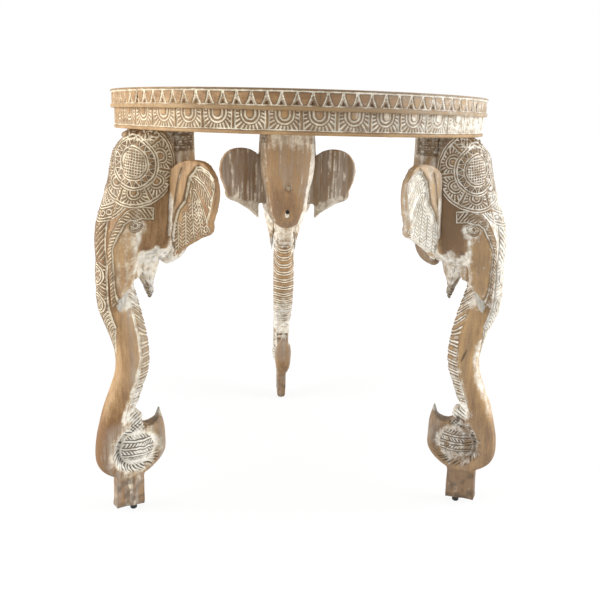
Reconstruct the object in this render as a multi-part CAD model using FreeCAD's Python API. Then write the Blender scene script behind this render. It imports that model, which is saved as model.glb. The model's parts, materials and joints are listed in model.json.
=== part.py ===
import FreeCAD, Part
import math
import os

os.makedirs("parts", exist_ok=True)
Vector = FreeCAD.Vector

# Lengths are in millimetres and angles in degrees. The table stands on its glides at z = 0.

# Top and apron
TABLE_HEIGHT = 544.0
TOP_RADIUS = 250.0
TOP_THICKNESS = 22.0
BOARD_COUNT = 5
RIM_BEAD = 3.0
RIM_LIP = 5.0
RIM_RECESS = 1.5
APRON_INSET = 3.5
APRON_HEIGHT = 25.0
APRON_WIDTH = 24.0
APRON_LIP = 4.5
APRON_RECESS = 1.5
SEGMENT_COUNT = 6

# Legs, with every reach counted outward from the inner face of the apron
LEG_ANGLES = (90.0, 210.0, 330.0)
PLANK = 37.0
JOINT_REACH = -15.5
CORE_SETBACK = 1.0

# Forehead and upper trunk: drop below the apron, front reach, back reach, thickness
FOREHEAD_ROWS = (
    (0.0, 22.0, -7.5, 30.0),
    (26.0, 39.5, 2.5, 35.0),
    (51.0, 45.5, 7.5, 35.5),
    (81.0, 56.0, 13.5, 35.5),
    (111.0, 65.0, 18.5, 36.0),
    (151.0, 68.0, 23.5, 36.0),
    (191.0, 69.0, 26.0, 36.0),
    (226.0, 64.5, 17.0, 36.0),
)

# Lower trunk: share of the way from forehead to curl, front reach, back reach, thickness
TRUNK_ROWS = (
    (0.22, 55.3, 12.0, 36.0),
    (0.48, 49.5, 9.4, 35.5),
    (0.74, 54.0, 15.0, 33.5),
    (1.0, 66.8, 25.5, 31.0),
)

# Curl of the trunk and its tip, with every rise counted from the curl's centre
CURL_REACH = 36.0
CURL_HEIGHT = 94.0
TRUNK_END_RISE = 62.0
CURL_RADIUS = 47.0
CURL_START_ANGLE = 25.0
CURL_END_ANGLE = -175.0
CURL_STEPS = 5
CURL_ROOT_WIDTH = 30.0
CURL_TIP_WIDTH = 14.0
CURL_THICKNESS = 29.0
CURL_FOOT_THICKNESS = 18.0
# Tip: rise, setback from the curl's edge, width, thickness
TIP_ROWS = (
    (20.0, 0.7, 12.3, 25.0),
    (34.0, 2.8, 7.2, 17.0),
    (45.0, 4.3, 2.6, 7.0),
)

# Pot held in the curl, with every rise counted from the curl's centre
POT_REACH = 30.5
POT_DROP = 3.0
POT_RADIUS = 27.5
POT_THICKNESS = 30.0
POT_NECK_REACH = 21.5
POT_NECK_RISE = 46.0
POT_NECK_WIDTH = 12.0
POT_NECK_ROUND = 2.0
POT_WEB_THICKNESS = 22.0
POT_VALLEY_REACH = 9.0
POT_VALLEY_RISE = 25.0
POT_VALLEY_DEPTH = 5.0

# Foot block and glide
FOOT_INNER = 21.0
FOOT_TOP_WIDTH = 36.5
FOOT_BASE_WIDTH = 39.5
FOOT_TOP_THICKNESS = 17.0
FOOT_BASE_THICKNESS = 14.0
FOOT_SLANT = 5.0
FOOT_LAP = 11.0
GLIDE_HEIGHT = 6.4
GLIDE_RADIUS = 4.5
GLIDE_EDGE = 1.0
GLIDE_OFFSET = 13.5
NAIL_RADIUS = 1.2
NAIL_LENGTH = 16.0

# Head, both cheeks together: drop below the apron, front reach, width, squareness
HEAD_ROWS = (
    (0.0, 20.5, 90.0, 2.6),
    (26.0, 37.0, 92.0, 2.6),
    (51.0, 43.5, 94.0, 2.6),
    (81.0, 53.0, 92.0, 2.7),
    (111.0, 61.0, 86.0, 3.0),
    (146.0, 64.3, 75.0, 3.6),
    (191.0, 65.0, 59.0, 4.0),
    (211.0, 64.5, 53.0, 4.0),
)
# The part of the head that goes up behind the apron
TONGUE_FRONT = 16.0
TONGUE_WIDTH = 86.0
TONGUE_SPARE = 5.0
CHEEK_REAR_DROP = 153.0
CHEEK_MID_REACH = 7.0
CHEEK_MID_DROP = 158.0
CHEEK_FRONT_REACH = 29.5
CHEEK_FRONT_DROP = 157.0
SHEATH_REACH = 31.5
SHEATH_DROP = 179.0
SHEATH_SLOPE = 0.48
CORE_MID_REACH = 6.0
CORE_MID_DROP = 160.0
CORE_FRONT_REACH = 24.0
CORE_FRONT_DROP = 180.0

# How far the carved forms stand proud of the head, the trunk and the pot
CARVING_RISE = 1.5
RING_RISE = 1.2
POT_RISE = 1.0

# Flower on the headcloth: inner and outer radius of each band, and the grooves of its petals
FLOWER_REACH = 36.5
FLOWER_DROP = 37.5
FLOWER_BANDS = ((30.0, 50.0), (19.0, 27.5), (0.0, 16.5))
FLOWER_SQUEEZE = 0.34
FLOWER_REAR_REACH = -10.5
FLOWER_TOP_DROP = 0.5
FLOWER_FRONT_INSET = 1.5
PETAL_ANGLES = (114.0, 165.0, 217.0, 268.0)
PETAL_CENTER = 31.0
PETAL_RADIUS = 13.5
PETAL_GROOVE = 2.0

# Brow over the eye: reach, drop below the apron, half width; a rope goes on from it down the trunk
BROW_ROWS = (
    (15.5, 94.5, 6.0),
    (26.5, 94.0, 6.0),
    (39.5, 97.0, 6.0),
    (47.5, 105.0, 5.0),
    (54.0, 118.0, 3.5),
)
ROPE_INSET = 4.8
ROPE_HALF_WIDTH = 3.5
EYE_REACH = 33.5
EYE_DROP = 108.5
EYE_HALF_LENGTH = 7.4
EYE_HALF_HEIGHT = 4.4
EYE_SLOPE = 0.22

# Feathers and medallions down the middle of the front, in its outermost layer
FRONT_LAYER = 52.0
FRONT_ROWS = slice(2, 9)
FEATHER_COUNT = 6
FEATHER_DROP = 114.0
FEATHER_PITCH = 6.6
FEATHER_WIDTH = 3.2
FEATHER_HALF_SPAN = 13.0
FEATHER_SLOPE = 0.95
MEDALLION_DROPS = (171.0, 206.0)
MEDALLION_RADIUS = 12.4
MEDALLION_WIDTH = 3.0

# Rings round the inner side of the trunk, which lean up at the top and down at the bottom
RING_ROWS = slice(4, 12)
RING_COUNT = 12
RING_DROP = 187.0
RING_PITCH = 13.0
RING_WIDTH = 6.0
RING_SPAN = 13.0
RING_SLOPE = 0.6

# Bands round the pot: rise from its middle
POT_BANDS = (-8.0, 2.0, 12.0)
POT_BAND_WIDTH = 4.8

# Lower jaw: drop below the apron, front reach, back reach, thickness
JAW_ROWS = (
    (146.0, 29.5, -10.5, 34.0),
    (166.0, 21.0, -7.5, 30.0),
    (183.0, 15.0, -4.0, 25.0),
    (198.0, 8.0, -2.0, 17.0),
    (207.0, 5.0, 1.0, 8.0),
)

# Neck block: drop below the apron, width, depth
NECK_ROWS = (
    (11.0, 86.0, 37.0),
    (41.0, 90.0, 37.0),
    (91.0, 80.0, 34.5),
    (121.0, 70.0, 31.5),
    (144.0, 60.0, 28.0),
    (158.0, 38.0, 19.0),
    (165.0, 12.0, 7.0),
)

# Ears: distance out from the root, drop below the apron
EAR_OUTLINE = (
    (33.0, 31.5),
    (58.5, 41.0),
    (68.5, 62.0),
    (64.5, 87.0),
    (52.5, 109.0),
    (28.5, 127.0),
)
EAR_TOP_DROP = 44.0
EAR_BOTTOM_DROP = 150.0
EAR_THICKNESS = 10.0
EAR_SWEEP_ANGLE = 22.0
EAR_STANDOFF = 2.0
TENON_THICKNESS = 10.0
TENON_DEPTH = 13.0
TENON_TOP_DROP = 52.0
TENON_HEIGHT = 72.0

# Tusk stubs
STUB_REACH = 47.0
STUB_SIDE = 24.0
STUB_RADIUS = 5.0
STUB_LENGTH = 20.0
STUB_PEG_RADIUS = 2.0
STUB_PEG_LENGTH = 8.0

# Fasteners
FIT = 0.3
NECK_SCREW_DROPS = (95.0, 135.0)
NECK_SCREW_SEAT = 24.0
NECK_SCREW_LENGTH = 50.0
NECK_BORE_RADIUS = 4.3
APRON_SCREW_LENGTH = 36.0
APRON_SCREW_ANGLE = 20.0
SCREW_RADIUS = 2.2
SCREW_HEAD_RADIUS = 3.8
SCREW_HEAD_HEIGHT = 3.0
SCREW_SLOT_WIDTH = 1.2
SCREW_SLOT_DEPTH = 1.2
TOP_DOWEL_RADIUS = 6.0
TOP_DOWEL_UPPER = 12.0
TOP_DOWEL_LOWER = 22.0
TOP_DOWEL_REACH = -31.5
TOP_DOWEL_SIDE = 22.0
CHEEK_DOWEL_RADIUS = 4.0
CHEEK_DOWEL_DEPTH = 14.0
CHEEK_DOWEL_POINTS = ((15.5, 45.0), (9.5, 119.0))
BOARD_DOWEL_RADIUS = 4.0
BOARD_DOWEL_LENGTH = 40.0
BOARD_DOWEL_SPREAD = 0.55

# How finely a section is drawn, and the size of cutting blocks
SECTION_POINTS = 16
TRUNK_SQUARENESS = 2.6
NECK_SQUARENESS = 3.0
BLOCK = 1000.0

# Levels and radii that follow from the sizes above
TOP_UNDERSIDE = TABLE_HEIGHT - TOP_THICKNESS
HEAD_TOP = TOP_UNDERSIDE - APRON_HEIGHT
APRON_RADIUS = TOP_RADIUS - APRON_INSET
SEAT_RADIUS = APRON_RADIUS - APRON_WIDTH
JOINT_RADIUS = SEAT_RADIUS + JOINT_REACH
HALF_PLANK = PLANK / 2
EAR_ROOT = max(row[2] for row in HEAD_ROWS) / 2 + EAR_STANDOFF
LEG_REACH = SEAT_RADIUS + CURL_REACH + CURL_RADIUS
AXIS_Y = (TOP_RADIUS - LEG_REACH) / 2
UP = Vector(0, 0, 1)


def spot(reach, height, side=0.0):
    """Point of a leg that stands along +X, from its reach beyond the apron's inner face."""
    return Vector(SEAT_RADIUS + reach, side, height)


def below(drop):
    """Height of a point that lies this far below the apron."""
    return HEAD_TOP - drop


def closed_curve(points):
    """Closed smooth wire through points."""
    curve = Part.BSplineCurve()
    curve.interpolate(points, PeriodicFlag=True)
    return Part.Wire([curve.toShape()])


def rounded_section(inner, outer, thickness, power):
    """Closed wire of a rounded section between two points of a side outline."""
    middle = (inner + outer) * 0.5
    along = outer - inner
    half_length = along.Length / 2
    along.normalize()
    points = []
    for step in range(SECTION_POINTS):
        angle = 2 * math.pi * step / SECTION_POINTS
        cosine = math.cos(angle)
        sine = math.sin(angle)
        length = math.copysign(abs(cosine) ** (2 / power), cosine) * half_length
        side = math.copysign(abs(sine) ** (2 / power), sine) * thickness / 2
        points.append(middle + along * length + Vector(0, side, 0))
    return closed_curve(points)


def level_section(drop, front, back, thickness, power):
    """Rounded section in a level plane of the head."""
    height = below(drop)
    return rounded_section(spot(back, height), spot(front, height), thickness, power)


def cylinder(radius, start, end):
    """Cylinder between two points on its axis."""
    axis = end - start
    return Part.makeCylinder(radius, axis.Length, start, axis)


def prism(points, side, depth):
    """Block with a side outline of straight lines, from one side plane to another."""
    wire = Part.makePolygon([Vector(p.x, side, p.z) for p in points + points[:1]])
    return Part.Face(wire).extrude(Vector(0, depth, 0))


def other_side(shape):
    """Mirror image of a piece across the middle plane of its leg."""
    return shape.mirror(Vector(0, 0, 0), Vector(0, 1, 0))


def screw(seat, direction, length, slot_across):
    """Screw whose flat head rests on the seat and whose shank runs along the direction."""
    head_end = seat - direction * SCREW_HEAD_HEIGHT
    body = cylinder(SCREW_HEAD_RADIUS, head_end, seat)
    body = body.fuse(cylinder(SCREW_RADIUS, head_end, seat + direction * length))
    slot_start = head_end + direction * SCREW_SLOT_DEPTH
    half = slot_across * SCREW_HEAD_RADIUS * 2
    side = direction.cross(slot_across) * (SCREW_SLOT_WIDTH / 2)
    corners = [head_end - direction - half - side, head_end - direction + half - side,
               head_end - direction + half + side, head_end - direction - half + side]
    slot = Part.Face(Part.makePolygon(corners + corners[:1]))
    slot = slot.extrude(slot_start - head_end + direction)
    return body.cut(slot)


def screw_hole(seat, direction, length, bore_radius, bore_depth):
    """Clearance for a screw and for the bore in front of its head."""
    bore = cylinder(bore_radius, seat - direction * bore_depth, seat)
    shank = cylinder(SCREW_RADIUS + FIT, seat - direction, seat + direction * length)
    return bore.fuse(shank)


def trunk_profile():
    """Height, front reach, back reach and thickness down to where the curl begins."""
    rows = [(below(drop), front, back, thickness)
            for drop, front, back, thickness in FOREHEAD_ROWS]
    start = rows[-1][0]
    end = CURL_HEIGHT + TRUNK_END_RISE
    for share, front, back, thickness in TRUNK_ROWS:
        rows.append((start + (end - start) * share, front, back, thickness))
    return rows


def trunk_sections(rows, grow=0.0):
    """Level sections of the trunk, grown all round."""
    sections = []
    for height, front, back, thickness in rows:
        inner = spot(back - grow, height)
        outer = spot(front + grow, height)
        sections.append(rounded_section(inner, outer, thickness + 2 * grow, TRUNK_SQUARENESS))
    return sections


def make_trunk():
    """Forehead, trunk and curl in one run, from the apron down to the tip."""
    sections = trunk_sections(trunk_profile())
    center = spot(CURL_REACH, CURL_HEIGHT)
    for step in range(CURL_STEPS + 1):
        share = step / CURL_STEPS
        angle = math.radians(CURL_START_ANGLE + (CURL_END_ANGLE - CURL_START_ANGLE) * share)
        ray = Vector(math.cos(angle), 0, math.sin(angle))
        width = CURL_ROOT_WIDTH + (CURL_TIP_WIDTH - CURL_ROOT_WIDTH) * share
        low = max(0.0, -math.sin(angle))
        thickness = CURL_THICKNESS + (CURL_FOOT_THICKNESS - CURL_THICKNESS) * low ** 2
        outer = center + ray * CURL_RADIUS
        inner = center + ray * (CURL_RADIUS - width)
        sections.append(rounded_section(inner, outer, thickness, TRUNK_SQUARENESS))
    for rise, setback, width, thickness in TIP_ROWS:
        outer = center + Vector(setback - CURL_RADIUS, 0, rise)
        inner = outer + Vector(width, 0, 0)
        sections.append(rounded_section(inner, outer, thickness, TRUNK_SQUARENESS))
    return Part.makeLoft(sections, True, False)


def make_ball(grow=0.0):
    """Round body of the pot, grown all round."""
    radius = POT_RADIUS + grow
    half_thickness = POT_THICKNESS / 2 + grow
    half = Part.Ellipse(Vector(0, 0, 0), radius, half_thickness)
    arc = half.toShape(0, math.pi)
    axis = Part.makeLine(Vector(-radius, 0, 0), Vector(radius, 0, 0))
    ball = Part.Face(Part.Wire([arc, axis])).revolve(Vector(0, 0, 0), Vector(1, 0, 0), 360)
    widen = FreeCAD.Matrix()
    widen.scale(1, 1, radius / half_thickness)
    ball = ball.transformGeometry(widen)
    ball.translate(spot(POT_REACH, CURL_HEIGHT - POT_DROP))
    return ball


def make_pot():
    """Pot that the trunk holds, with its bands, its neck and the wood left around it."""
    curl = spot(CURL_REACH, CURL_HEIGHT)
    slabs = []
    for rise in POT_BANDS:
        low = CURL_HEIGHT - POT_DROP + rise - POT_BAND_WIDTH / 2
        slabs.append(Part.makeBox(BLOCK, BLOCK, POT_BAND_WIDTH, Vector(0, -BLOCK / 2, low)))
    bands = make_ball(POT_RISE).common(slabs)
    valley_floor = CURL_HEIGHT + POT_VALLEY_RISE
    valley_edge = valley_floor + POT_VALLEY_DEPTH
    neck_height = CURL_HEIGHT + POT_NECK_RISE
    valley = spot(POT_VALLEY_REACH, valley_floor)
    valley_start = spot(0, valley_edge)
    neck_low = spot(POT_NECK_REACH, valley_edge)
    neck_side = spot(POT_NECK_REACH, neck_height - POT_NECK_ROUND)
    neck_top = spot(POT_NECK_REACH + POT_NECK_ROUND, neck_height)
    neck_far = spot(POT_NECK_REACH + POT_NECK_WIDTH, neck_height)
    trunk_side = curl + Vector(CURL_RADIUS - CURL_ROOT_WIDTH / 2, 0, 0)
    trunk_low = curl - UP * (CURL_RADIUS - CURL_TIP_WIDTH)
    tip_side = curl - Vector(CURL_RADIUS - CURL_TIP_WIDTH / 2, 0, 0)
    lines = [Part.Arc(valley_start, valley, neck_low).toShape(),
             Part.makeLine(neck_low, neck_side),
             Part.makeLine(neck_side, neck_top),
             Part.makeLine(neck_top, neck_far),
             Part.makeLine(neck_far, trunk_side),
             Part.Arc(trunk_side, trunk_low, tip_side).toShape(),
             Part.makeLine(tip_side, valley_start)]
    web = Part.Face(Part.Wire(Part.__sortEdges__(lines)))
    web.translate(Vector(0, -POT_WEB_THICKNESS / 2, 0))
    return make_ball().fuse([bands, web.extrude(Vector(0, POT_WEB_THICKNESS, 0))])


def make_foot():
    """Foot block with a slanted underside."""
    wires = []
    for height, width, thickness in (
            (0.0, FOOT_BASE_WIDTH, FOOT_BASE_THICKNESS),
            (CURL_HEIGHT - CURL_RADIUS + FOOT_LAP, FOOT_TOP_WIDTH, FOOT_TOP_THICKNESS)):
        corners = [spot(FOOT_INNER, height, -thickness / 2),
                   spot(FOOT_INNER + width, height, -thickness / 2),
                   spot(FOOT_INNER + width, height, thickness / 2),
                   spot(FOOT_INNER, height, thickness / 2)]
        wires.append(Part.makePolygon(corners + corners[:1]))
    block = Part.makeLoft(wires, True, True)
    slope = FOOT_SLANT / FOOT_BASE_WIDTH
    start = GLIDE_HEIGHT - slope * GLIDE_OFFSET
    waste = prism([spot(FOOT_INNER - BLOCK, start - slope * BLOCK),
                   spot(FOOT_INNER + BLOCK, start + slope * BLOCK),
                   spot(FOOT_INNER + BLOCK, -BLOCK), spot(FOOT_INNER - BLOCK, -BLOCK)],
                  -BLOCK / 2, BLOCK)
    return block.cut(waste)


def head_front(row):
    """Reach of the cheeks' front edge at the side of the centre plank."""
    drop, front, width, power = row
    share = (1 - (PLANK / width) ** power) ** (1 / power)
    return JOINT_REACH + (front - JOINT_REACH) * share


def make_core():
    """Flat core of the head, between the cheeks and in front of the neck block."""
    rear_top = spot(JOINT_REACH, TOP_UNDERSIDE)
    rear_low = spot(JOINT_REACH, below(CHEEK_REAR_DROP))
    low_middle = spot(CORE_MID_REACH, below(CORE_MID_DROP))
    low_front = spot(CORE_FRONT_REACH, below(CORE_FRONT_DROP))
    edge = []
    for row in HEAD_ROWS:
        if row[0] < CHEEK_REAR_DROP:
            edge.append(spot(head_front(row) - CORE_SETBACK, below(row[0])))
    edge_curve = Part.BSplineCurve()
    edge_curve.interpolate(edge)
    front_top = Vector(edge[0].x, 0, TOP_UNDERSIDE)
    lines = [Part.makeLine(rear_top, rear_low),
             Part.Arc(rear_low, low_middle, low_front).toShape(),
             Part.makeLine(low_front, edge[-1]),
             edge_curve.toShape(),
             Part.makeLine(edge[0], front_top),
             Part.makeLine(front_top, rear_top)]
    face = Part.Face(Part.Wire(Part.__sortEdges__(lines)))
    face.translate(Vector(0, -HALF_PLANK, 0))
    return face.extrude(Vector(0, PLANK, 0))


def make_jaw():
    """Lower jaw between the cheeks and behind the trunk."""
    sections = [level_section(drop, front, back, thickness, TRUNK_SQUARENESS)
                for drop, front, back, thickness in JAW_ROWS]
    return Part.makeLoft(sections, True, False)


def make_apron_space():
    """Space that the apron takes above the head, with clearance on its inner face."""
    outer = Part.makeCylinder(BLOCK, APRON_HEIGHT, Vector(0, 0, HEAD_TOP))
    return outer.cut(Part.makeCylinder(SEAT_RADIUS - FIT, APRON_HEIGHT, Vector(0, 0, HEAD_TOP)))


def make_cheek_block():
    """Side outline of one cheek, as a block from the plank outward."""
    rear_top = spot(JOINT_REACH, TOP_UNDERSIDE)
    rear_low = spot(JOINT_REACH, below(CHEEK_REAR_DROP))
    middle = spot(CHEEK_MID_REACH, below(CHEEK_MID_DROP))
    front = spot(CHEEK_FRONT_REACH, below(CHEEK_FRONT_DROP))
    sheath = spot(SHEATH_REACH, below(SHEATH_DROP))
    far_low = sheath + Vector(BLOCK, 0, -BLOCK * SHEATH_SLOPE)
    far_top = Vector(far_low.x, 0, TOP_UNDERSIDE)
    lines = [Part.makeLine(rear_top, rear_low),
             Part.Arc(rear_low, middle, front).toShape(),
             Part.makeLine(front, sheath),
             Part.makeLine(sheath, far_low),
             Part.makeLine(far_low, far_top),
             Part.makeLine(far_top, rear_top)]
    face = Part.Face(Part.Wire(Part.__sortEdges__(lines)))
    face.translate(Vector(0, HALF_PLANK, 0))
    return face.extrude(Vector(0, BLOCK, 0))


def make_head(grow=0.0):
    """Whole head with both cheeks, before it is split into pieces, grown all round."""
    tongue_drop = -(APRON_HEIGHT + TONGUE_SPARE)
    tongue = (tongue_drop, TONGUE_FRONT, TONGUE_WIDTH, HEAD_ROWS[0][3])
    sections = []
    for drop, front, width, power in (tongue,) + HEAD_ROWS:
        half_length = front - JOINT_REACH + grow
        back = JOINT_REACH - half_length
        sections.append(level_section(drop, JOINT_REACH + half_length, back, width + 2 * grow, power))
    return Part.makeLoft(sections, True, False)


def flower_wire(radius):
    """Outline round the flower, drawn together where the head turns to the front."""
    points = []
    for step in range(SECTION_POINTS):
        angle = 2 * math.pi * step / SECTION_POINTS
        along = math.cos(angle) * radius
        if along > 0:
            along = along * FLOWER_SQUEEZE
        points.append(spot(FLOWER_REACH + along, below(FLOWER_DROP) + math.sin(angle) * radius))
    return closed_curve(points)


def make_flower():
    """Bands of the flower on the headcloth, as flat faces of the side outline."""
    faces = []
    for inner, outer in FLOWER_BANDS:
        face = Part.Face(flower_wire(outer))
        if inner > 0:
            face = face.cut(Part.Face(flower_wire(inner)))
        faces.append(face)
    petals = []
    for petal_angle in PETAL_ANGLES:
        angle = math.radians(petal_angle)
        center = spot(FLOWER_REACH + math.cos(angle) * PETAL_CENTER,
                      below(FLOWER_DROP) + math.sin(angle) * PETAL_CENTER)
        outer, inner = [Part.Face(Part.Wire([Part.makeCircle(radius, center, Vector(0, 1, 0))]))
                        for radius in (PETAL_RADIUS, PETAL_RADIUS - PETAL_GROOVE)]
        petals.append(outer.cut(inner))
    faces[0] = faces[0].cut(petals)
    corners = [spot(FLOWER_REAR_REACH, below(FLOWER_TOP_DROP))]
    for row in HEAD_ROWS:
        drop = max(row[0], FLOWER_TOP_DROP)
        corners.append(spot(head_front(row) - FLOWER_FRONT_INSET, below(drop)))
    corners.append(spot(FLOWER_REAR_REACH, below(HEAD_ROWS[-1][0])))
    limit = Part.Face(Part.makePolygon(corners + corners[:1]))
    return [face.common(limit) for face in faces]


def make_brow():
    """Brow and rope band, as a flat face of the side outline."""
    rows = [(spot(reach, below(drop)), half) for reach, drop, half in BROW_ROWS]
    for row in HEAD_ROWS:
        if row[0] > BROW_ROWS[-1][1]:
            rows.append((spot(head_front(row) - ROPE_INSET, below(row[0])), ROPE_HALF_WIDTH))
    points = [row[0] for row in rows]
    sides = ([], [])
    for index, (point, half) in enumerate(rows):
        along = points[min(index + 1, len(rows) - 1)] - points[max(index - 1, 0)]
        along.normalize()
        across = Vector(-along.z, 0, along.x) * half
        sides[0].append(point + across)
        sides[1].append(point - across)
    lines = [Part.makeLine(sides[0][0], sides[1][0]), Part.makeLine(sides[0][-1], sides[1][-1])]
    for side in sides:
        curve = Part.BSplineCurve()
        curve.interpolate(side)
        lines.append(curve.toShape())
    return Part.Face(Part.Wire(Part.__sortEdges__(lines)))


def make_eye():
    """Almond eye, as a flat face of the side outline."""
    center = spot(EYE_REACH, below(EYE_DROP))
    corner = Vector(EYE_HALF_LENGTH, 0, -EYE_HALF_LENGTH * EYE_SLOPE)
    lids = [Part.Arc(center - corner, center + UP * rise, center + corner).toShape()
            for rise in (EYE_HALF_HEIGHT, -EYE_HALF_HEIGHT)]
    return Part.Face(Part.Wire(lids))


def make_head_carving():
    """Flower, brow, rope and eye, standing proud of the side of the head."""
    faces = make_flower() + [make_brow(), make_eye()]
    blocks = [face.extrude(Vector(0, BLOCK, 0)) for face in faces]
    return make_head(CARVING_RISE).common(blocks)


def grown_trunk(rows):
    """Stretch of the trunk between some of its rows, grown by the rise of its carving."""
    return Part.makeLoft(trunk_sections(trunk_profile()[rows], RING_RISE), True, False)


def make_front_carving():
    """Feathers and medallions, standing proud of the trunk's front."""
    outward = Vector(BLOCK, 0, 0)
    blocks = []
    for index in range(FEATHER_COUNT):
        tip = spot(FRONT_LAYER, below(FEATHER_DROP + index * FEATHER_PITCH))
        arm = Vector(0, FEATHER_HALF_SPAN, FEATHER_HALF_SPAN * FEATHER_SLOPE)
        far_arm = Vector(0, -arm.y, arm.z)
        rise = UP * FEATHER_WIDTH
        corners = [tip, tip + arm, tip + arm + rise, tip + rise, tip + far_arm + rise, tip + far_arm]
        blocks.append(Part.Face(Part.makePolygon(corners + corners[:1])).extrude(outward))
    for drop in MEDALLION_DROPS:
        start = spot(FRONT_LAYER, below(drop))
        end = start + outward
        hole = cylinder(MEDALLION_RADIUS - MEDALLION_WIDTH, start, end)
        blocks.append(cylinder(MEDALLION_RADIUS, start, end).cut(hole))
    return grown_trunk(FRONT_ROWS).common(blocks)


def make_trunk_rings():
    """Rings that stand proud of the trunk's inner side."""
    profile = sorted((height, back) for height, front, back, thickness in trunk_profile())
    blocks = []
    for index in range(RING_COUNT):
        height = below(RING_DROP + index * RING_PITCH)
        lower = max(row for row in profile if row[0] <= height)
        upper = min(row for row in profile if row[0] > height)
        back = lower[1] + (upper[1] - lower[1]) * (height - lower[0]) / (upper[0] - lower[0])
        slope = RING_SLOPE * (1 - 2 * index / (RING_COUNT - 1))
        lift = UP * (RING_WIDTH / 2)
        start = spot(back - RING_SPAN, height - slope * RING_SPAN)
        end = spot(back + RING_SPAN, height + slope * RING_SPAN)
        blocks.append(prism([start - lift, end - lift, end + lift, start + lift],
                            -BLOCK / 2, BLOCK))
    return grown_trunk(RING_ROWS).common(blocks)


def make_neck():
    """Neck block behind the head, reaching up to the top."""
    top_width, top_depth = NECK_ROWS[0][1:]
    rows = ((-APRON_HEIGHT, top_width, top_depth), (0.0, top_width, top_depth)) + NECK_ROWS
    sections = []
    for drop, width, depth in rows:
        back = JOINT_REACH - depth
        front = JOINT_REACH + depth
        sections.append(level_section(drop, front, back, width, NECK_SQUARENESS))
    column = Part.makeLoft(sections, True, False)
    front = Part.makeBox(BLOCK, BLOCK, BLOCK, Vector(JOINT_RADIUS, -BLOCK / 2, 0))
    return column.cut(front)


def make_tenon():
    """Root tenon of an ear, in the rear corner of the cheek."""
    start = EAR_ROOT - EAR_STANDOFF - TENON_DEPTH
    width = TENON_DEPTH + EAR_STANDOFF + EAR_THICKNESS / 2
    corner = Vector(JOINT_RADIUS, start, below(TENON_TOP_DROP + TENON_HEIGHT))
    return Part.makeBox(TENON_THICKNESS, width, TENON_HEIGHT, corner)


def make_ear_blade():
    """Flat blade of an ear, swept back from the head."""
    sweep = math.radians(EAR_SWEEP_ANGLE)
    out = Vector(-math.sin(sweep), math.cos(sweep), 0)
    across = Vector(math.cos(sweep), math.sin(sweep), 0)
    root = Vector(JOINT_RADIUS + TENON_THICKNESS / 2, EAR_ROOT, 0)
    root_top = root + UP * below(EAR_TOP_DROP)
    root_low = root + UP * below(EAR_BOTTOM_DROP)
    edge = [root_top]
    for distance, drop in EAR_OUTLINE:
        edge.append(root + out * distance + UP * below(drop))
    edge.append(root_low)
    curve = Part.BSplineCurve()
    curve.interpolate(edge)
    face = Part.Face(Part.Wire([curve.toShape(), Part.makeLine(root_low, root_top)]))
    face.translate(across * (-EAR_THICKNESS / 2))
    return face.extrude(across * EAR_THICKNESS)


def make_stub(cheek_block):
    """Cut tusk under a sheath, with a peg that goes up into the sheath."""
    cut_height = below(SHEATH_DROP) - SHEATH_SLOPE * (STUB_REACH - SHEATH_REACH)
    seat = spot(STUB_REACH, cut_height, STUB_SIDE)
    tip = seat - UP * STUB_LENGTH
    shoulder = seat + Vector(STUB_RADIUS, 0, 0)
    waist = seat + Vector(STUB_RADIUS * 0.8, 0, -STUB_LENGTH * 0.6)
    side = Part.BSplineCurve()
    side.interpolate([shoulder, waist, tip])
    crown = seat + UP * STUB_RADIUS
    crown_edge = crown + Vector(STUB_RADIUS, 0, 0)
    outline = Part.Wire([side.toShape(), Part.makeLine(tip, crown),
                         Part.makeLine(crown, crown_edge), Part.makeLine(crown_edge, shoulder)])
    body = Part.Face(outline).revolve(seat, UP, 360)
    body = body.cut(cheek_block)
    peg_end = seat + UP * STUB_PEG_LENGTH
    body = body.fuse(cylinder(STUB_PEG_RADIUS, seat - UP * STUB_PEG_LENGTH / 2, peg_end))
    hole = cylinder(STUB_PEG_RADIUS + FIT, seat - UP * STUB_PEG_LENGTH, peg_end)
    return body, hole


def make_glide():
    """Glide with its nail, and the hole that it goes into."""
    foot = spot(FOOT_INNER + GLIDE_OFFSET, 0)
    top = foot + UP * GLIDE_HEIGHT
    pad = Part.makeCone(GLIDE_RADIUS - GLIDE_EDGE, GLIDE_RADIUS, GLIDE_EDGE, foot)
    pad = pad.fuse(cylinder(GLIDE_RADIUS, foot + UP * GLIDE_EDGE, top))
    nail_end = top + UP * NAIL_LENGTH
    pad = pad.fuse(cylinder(NAIL_RADIUS, foot + UP * GLIDE_EDGE, nail_end))
    hole = cylinder(GLIDE_RADIUS + FIT, foot - UP * GLIDE_RADIUS, top)
    hole = hole.fuse(cylinder(NAIL_RADIUS + FIT, foot, nail_end))
    return pad, hole


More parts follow.
